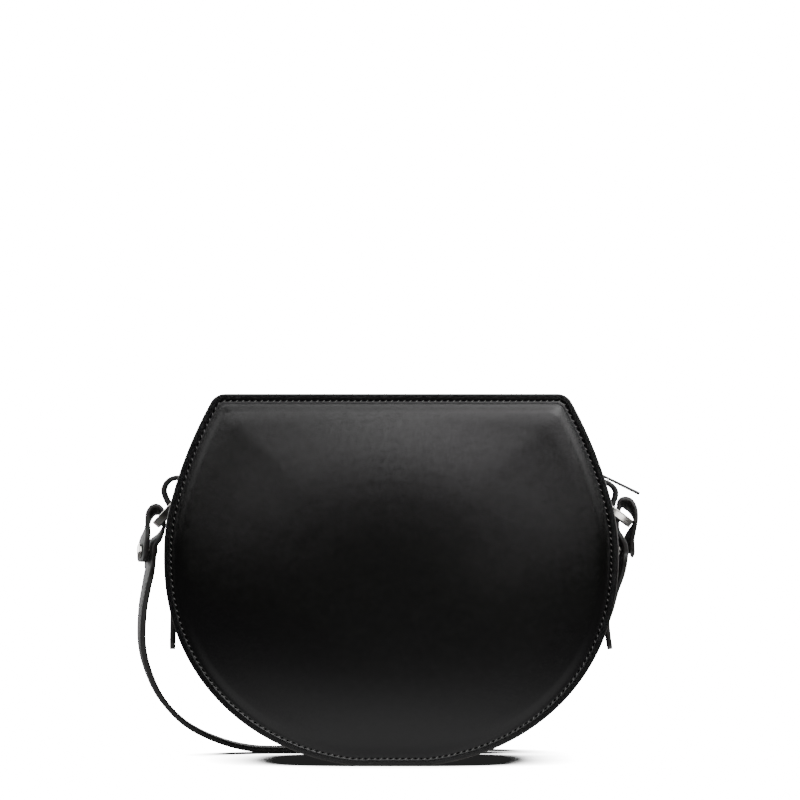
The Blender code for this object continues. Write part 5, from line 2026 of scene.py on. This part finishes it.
    def build_buckle(self) -> None:
        """Builds the wire frame, the prong and the leather keeper."""
        hinge = self.hinge()
        reach = Vector((-math.cos(self.tilt), 0, math.sin(self.tilt)))
        half_first = (self.width + self.play) / 2 + self.bar
        turns = [math.tau * i / 20 for i in range(20)]
        profile = [(self.bar * math.cos(turn), self.bar * math.sin(turn)) for turn in turns]
        mesh = bent_bar(hinge + reach * self.buckle_length / 2, Vector((0, 1, 0)), reach, half_first,
                        self.buckle_length / 2, self.bar * 2, profile)
        make_piece("buckle_wire", mesh, [NICKEL], Body.BAG, ["buckle_frame"], 60)
        refined("buckle_prong", "buckle_tongue", NICKEL, Body.PRONG, 0.00022, 3)
        low = self.keeper_leather
        high = self.lift() + self.leather + self.gap + self.end + self.gap
        half = self.keeper_leather / 2
        centre = Vector((hinge.x + self.keeper_reach, hinge.y, (low + high) / 2))
        soft = self.keeper_soft
        profile = sum(corner_arcs(half - soft, self.keeper_width / 2 - soft, soft, 3), [])
        mesh = bent_bar(centre, Vector((0, 1, 0)), Vector((0, 0, 1)), self.width / 2 + self.gap + half,
                        (high - low) / 2 + half, self.keeper_leather, profile)
        make_piece("keeper_leather", mesh, [STRAP_LEATHER], Body.BAG, ["buckle_keeper"], 50)

    def build(self) -> None:
        """Builds the straps and the buckle."""
        self.build_straps()
        self.build_buckle()


# Studio


# Each light: name, place, aim, size and watts. The card gives the right ring something to mirror.
LIGHTS = (
    ("overhead", (0.0, -0.20, 1.30), (0, 0, 0.06), (1.4, 0.9), 26),
    ("front", (0.62, -2.10, 1.22), (0, 0, 0.12), (1.5, 0.86), 17),
    ("front_high", (0.30, -1.60, 1.75), (0, 0, 0.12), (1.8, 0.5), 6),
    ("front_left", (-0.48, -2.10, 0.68), (0, 0, 0.12), (0.44, 0.50), 3.0),
    ("front_right", (0.50, -2.10, 0.68), (0, 0, 0.12), (0.44, 0.50), 4.0),
    ("card", (0.24, -1.88, 0.062), (0.11, 0, 0.12), (0.16, 0.08), 0.14),
    ("side_left", (-1.35, -1.50, 0.90), (0, 0, 0.12), (1.0, 0.8), 6),
    ("side_right", (1.35, -1.50, 0.90), (0, 0, 0.12), (1.0, 0.8), 8),
    ("left", (-1.15, -0.30, 0.45), (0, 0, 0.09), (0.5, 0.9), 7),
    ("right", (1.15, -0.30, 0.45), (0, 0, 0.09), (0.5, 0.9), 8),
    ("back_left", (-1.30, 1.10, 0.35), (0, 0, 0.09), (1.2, 1.0), 16),
    ("back_right", (1.30, 1.10, 0.35), (0, 0, 0.09), (1.2, 1.0), 16),
    ("behind", (0.0, 1.2, 0.9), (0, 0, 0.05), (1.6, 0.8), 14),
)


@dataclass
class Studio:
    """White floor and surroundings, softboxes all round, and the camera."""

    distance: float = 1.80
    eye: float = 0.160
    scale: float = 0.0004835
    pixels: int = 800
    centre_px: float = 391.2
    floor_px: float = 766.0
    front: float = -0.035
    sensor: float = 36.0
    seen: float = 20.0
    dim: float = 0.02
    floor_size: float = 6.0
    floor_drop: float = 0.0002

    def build_camera(self) -> None:
        """Sets the camera at the photograph's height, looking level, with the frame shifted up."""
        data = bpy.data.cameras.new("camera")
        data.sensor_width = self.sensor
        width = self.pixels * self.scale
        data.lens = self.sensor * self.distance / width
        data.shift_y = ((self.floor_px - self.pixels / 2) * self.scale - self.eye) / width
        data.clip_start, data.clip_end = 0.05, 100
        camera = add_object("camera", data)
        x = (self.pixels / 2 - self.centre_px) * self.scale
        camera.location = SHIFT + Vector((x, self.front - self.distance, self.eye))
        camera.rotation_euler = (math.pi / 2, 0, 0)
        bpy.context.scene.camera = camera

    def build_floor(self) -> None:
        """Lays the floor."""
        mesh = bmesh.new()
        bmesh.ops.create_grid(mesh, x_segments=1, y_segments=1, size=self.floor_size)
        floor = add_object("floor", mesh_data("floor", mesh))
        floor.data.materials.append(FLOOR.material())
        floor.location.z = -self.floor_drop

    def softbox(self, name: str, place: Row, aim: Row, size: Pair, power: float) -> None:
        """Hangs one area light.

        Args:
            name: The light's name.
            place: Where it hangs, in the bag's coordinates.
            aim: The point that it faces.
            size: Width and height.
            power: Watts.
        """
        data = bpy.data.lights.new(name, "AREA")
        data.shape = "RECTANGLE"
        data.size, data.size_y, data.energy = size[0], size[1], power
        lamp = add_object(name, data)
        lamp.location = SHIFT + Vector(place)
        lamp.rotation_euler = (Vector(place) - Vector(aim)).to_track_quat("Z", "Y").to_euler()

    def build_world(self) -> None:
        """Makes the surroundings: white where they are looked at, dim where they light the bag."""
        world = bpy.data.worlds.new("studio")
        world.use_nodes = True
        tree = world.node_tree
        tree.nodes.clear()
        seen, dim, mix, out = (tree.nodes.new(kind) for kind in (
            "ShaderNodeBackground", "ShaderNodeBackground", "ShaderNodeMixShader", "ShaderNodeOutputWorld"))
        path = tree.nodes.new("ShaderNodeLightPath")
        for node, strength in ((seen, self.seen), (dim, self.dim)):
            node.inputs["Strength"].default_value = strength
            node.inputs["Color"].default_value = (1, 1, 1, 1)
        tree.links.new(path.outputs["Is Camera Ray"], mix.inputs["Fac"])
        tree.links.new(dim.outputs["Background"], mix.inputs[1])
        tree.links.new(seen.outputs["Background"], mix.inputs[2])
        tree.links.new(mix.outputs["Shader"], out.inputs["Surface"])
        bpy.context.scene.world = world

    def build(self) -> None:
        """Sets the floor, the lights, the surroundings and the camera."""
        self.build_camera()
        self.build_floor()
        self.build_world()
        for light in LIGHTS:
            self.softbox(*light)


def main() -> None:
    """Builds the studio and the bag."""
    logging.basicConfig(level=logging.INFO, format="%(name)s: %(message)s")
    Studio().build()
    for side in Side:
        EndPanel(side).build()
    Gussets().build()
    Zip().build()
    SideTab(-1, LEFT_TAB_LOOP, LEFT_TAB_TAIL).build()
    SideTab(1, RIGHT_TAB_LOOP, RIGHT_TAB_TAIL).build()
    left = Ring(-1, Vector((-0.1053, 0, 0.1273)), math.radians(47.5))
    right = Ring(1, Vector((0.1053, 0, 0.1256)), math.radians(37.0))
    left.build()
    right.build()
    Straps(left, right).build()


if __name__ == "__main__":
    main()
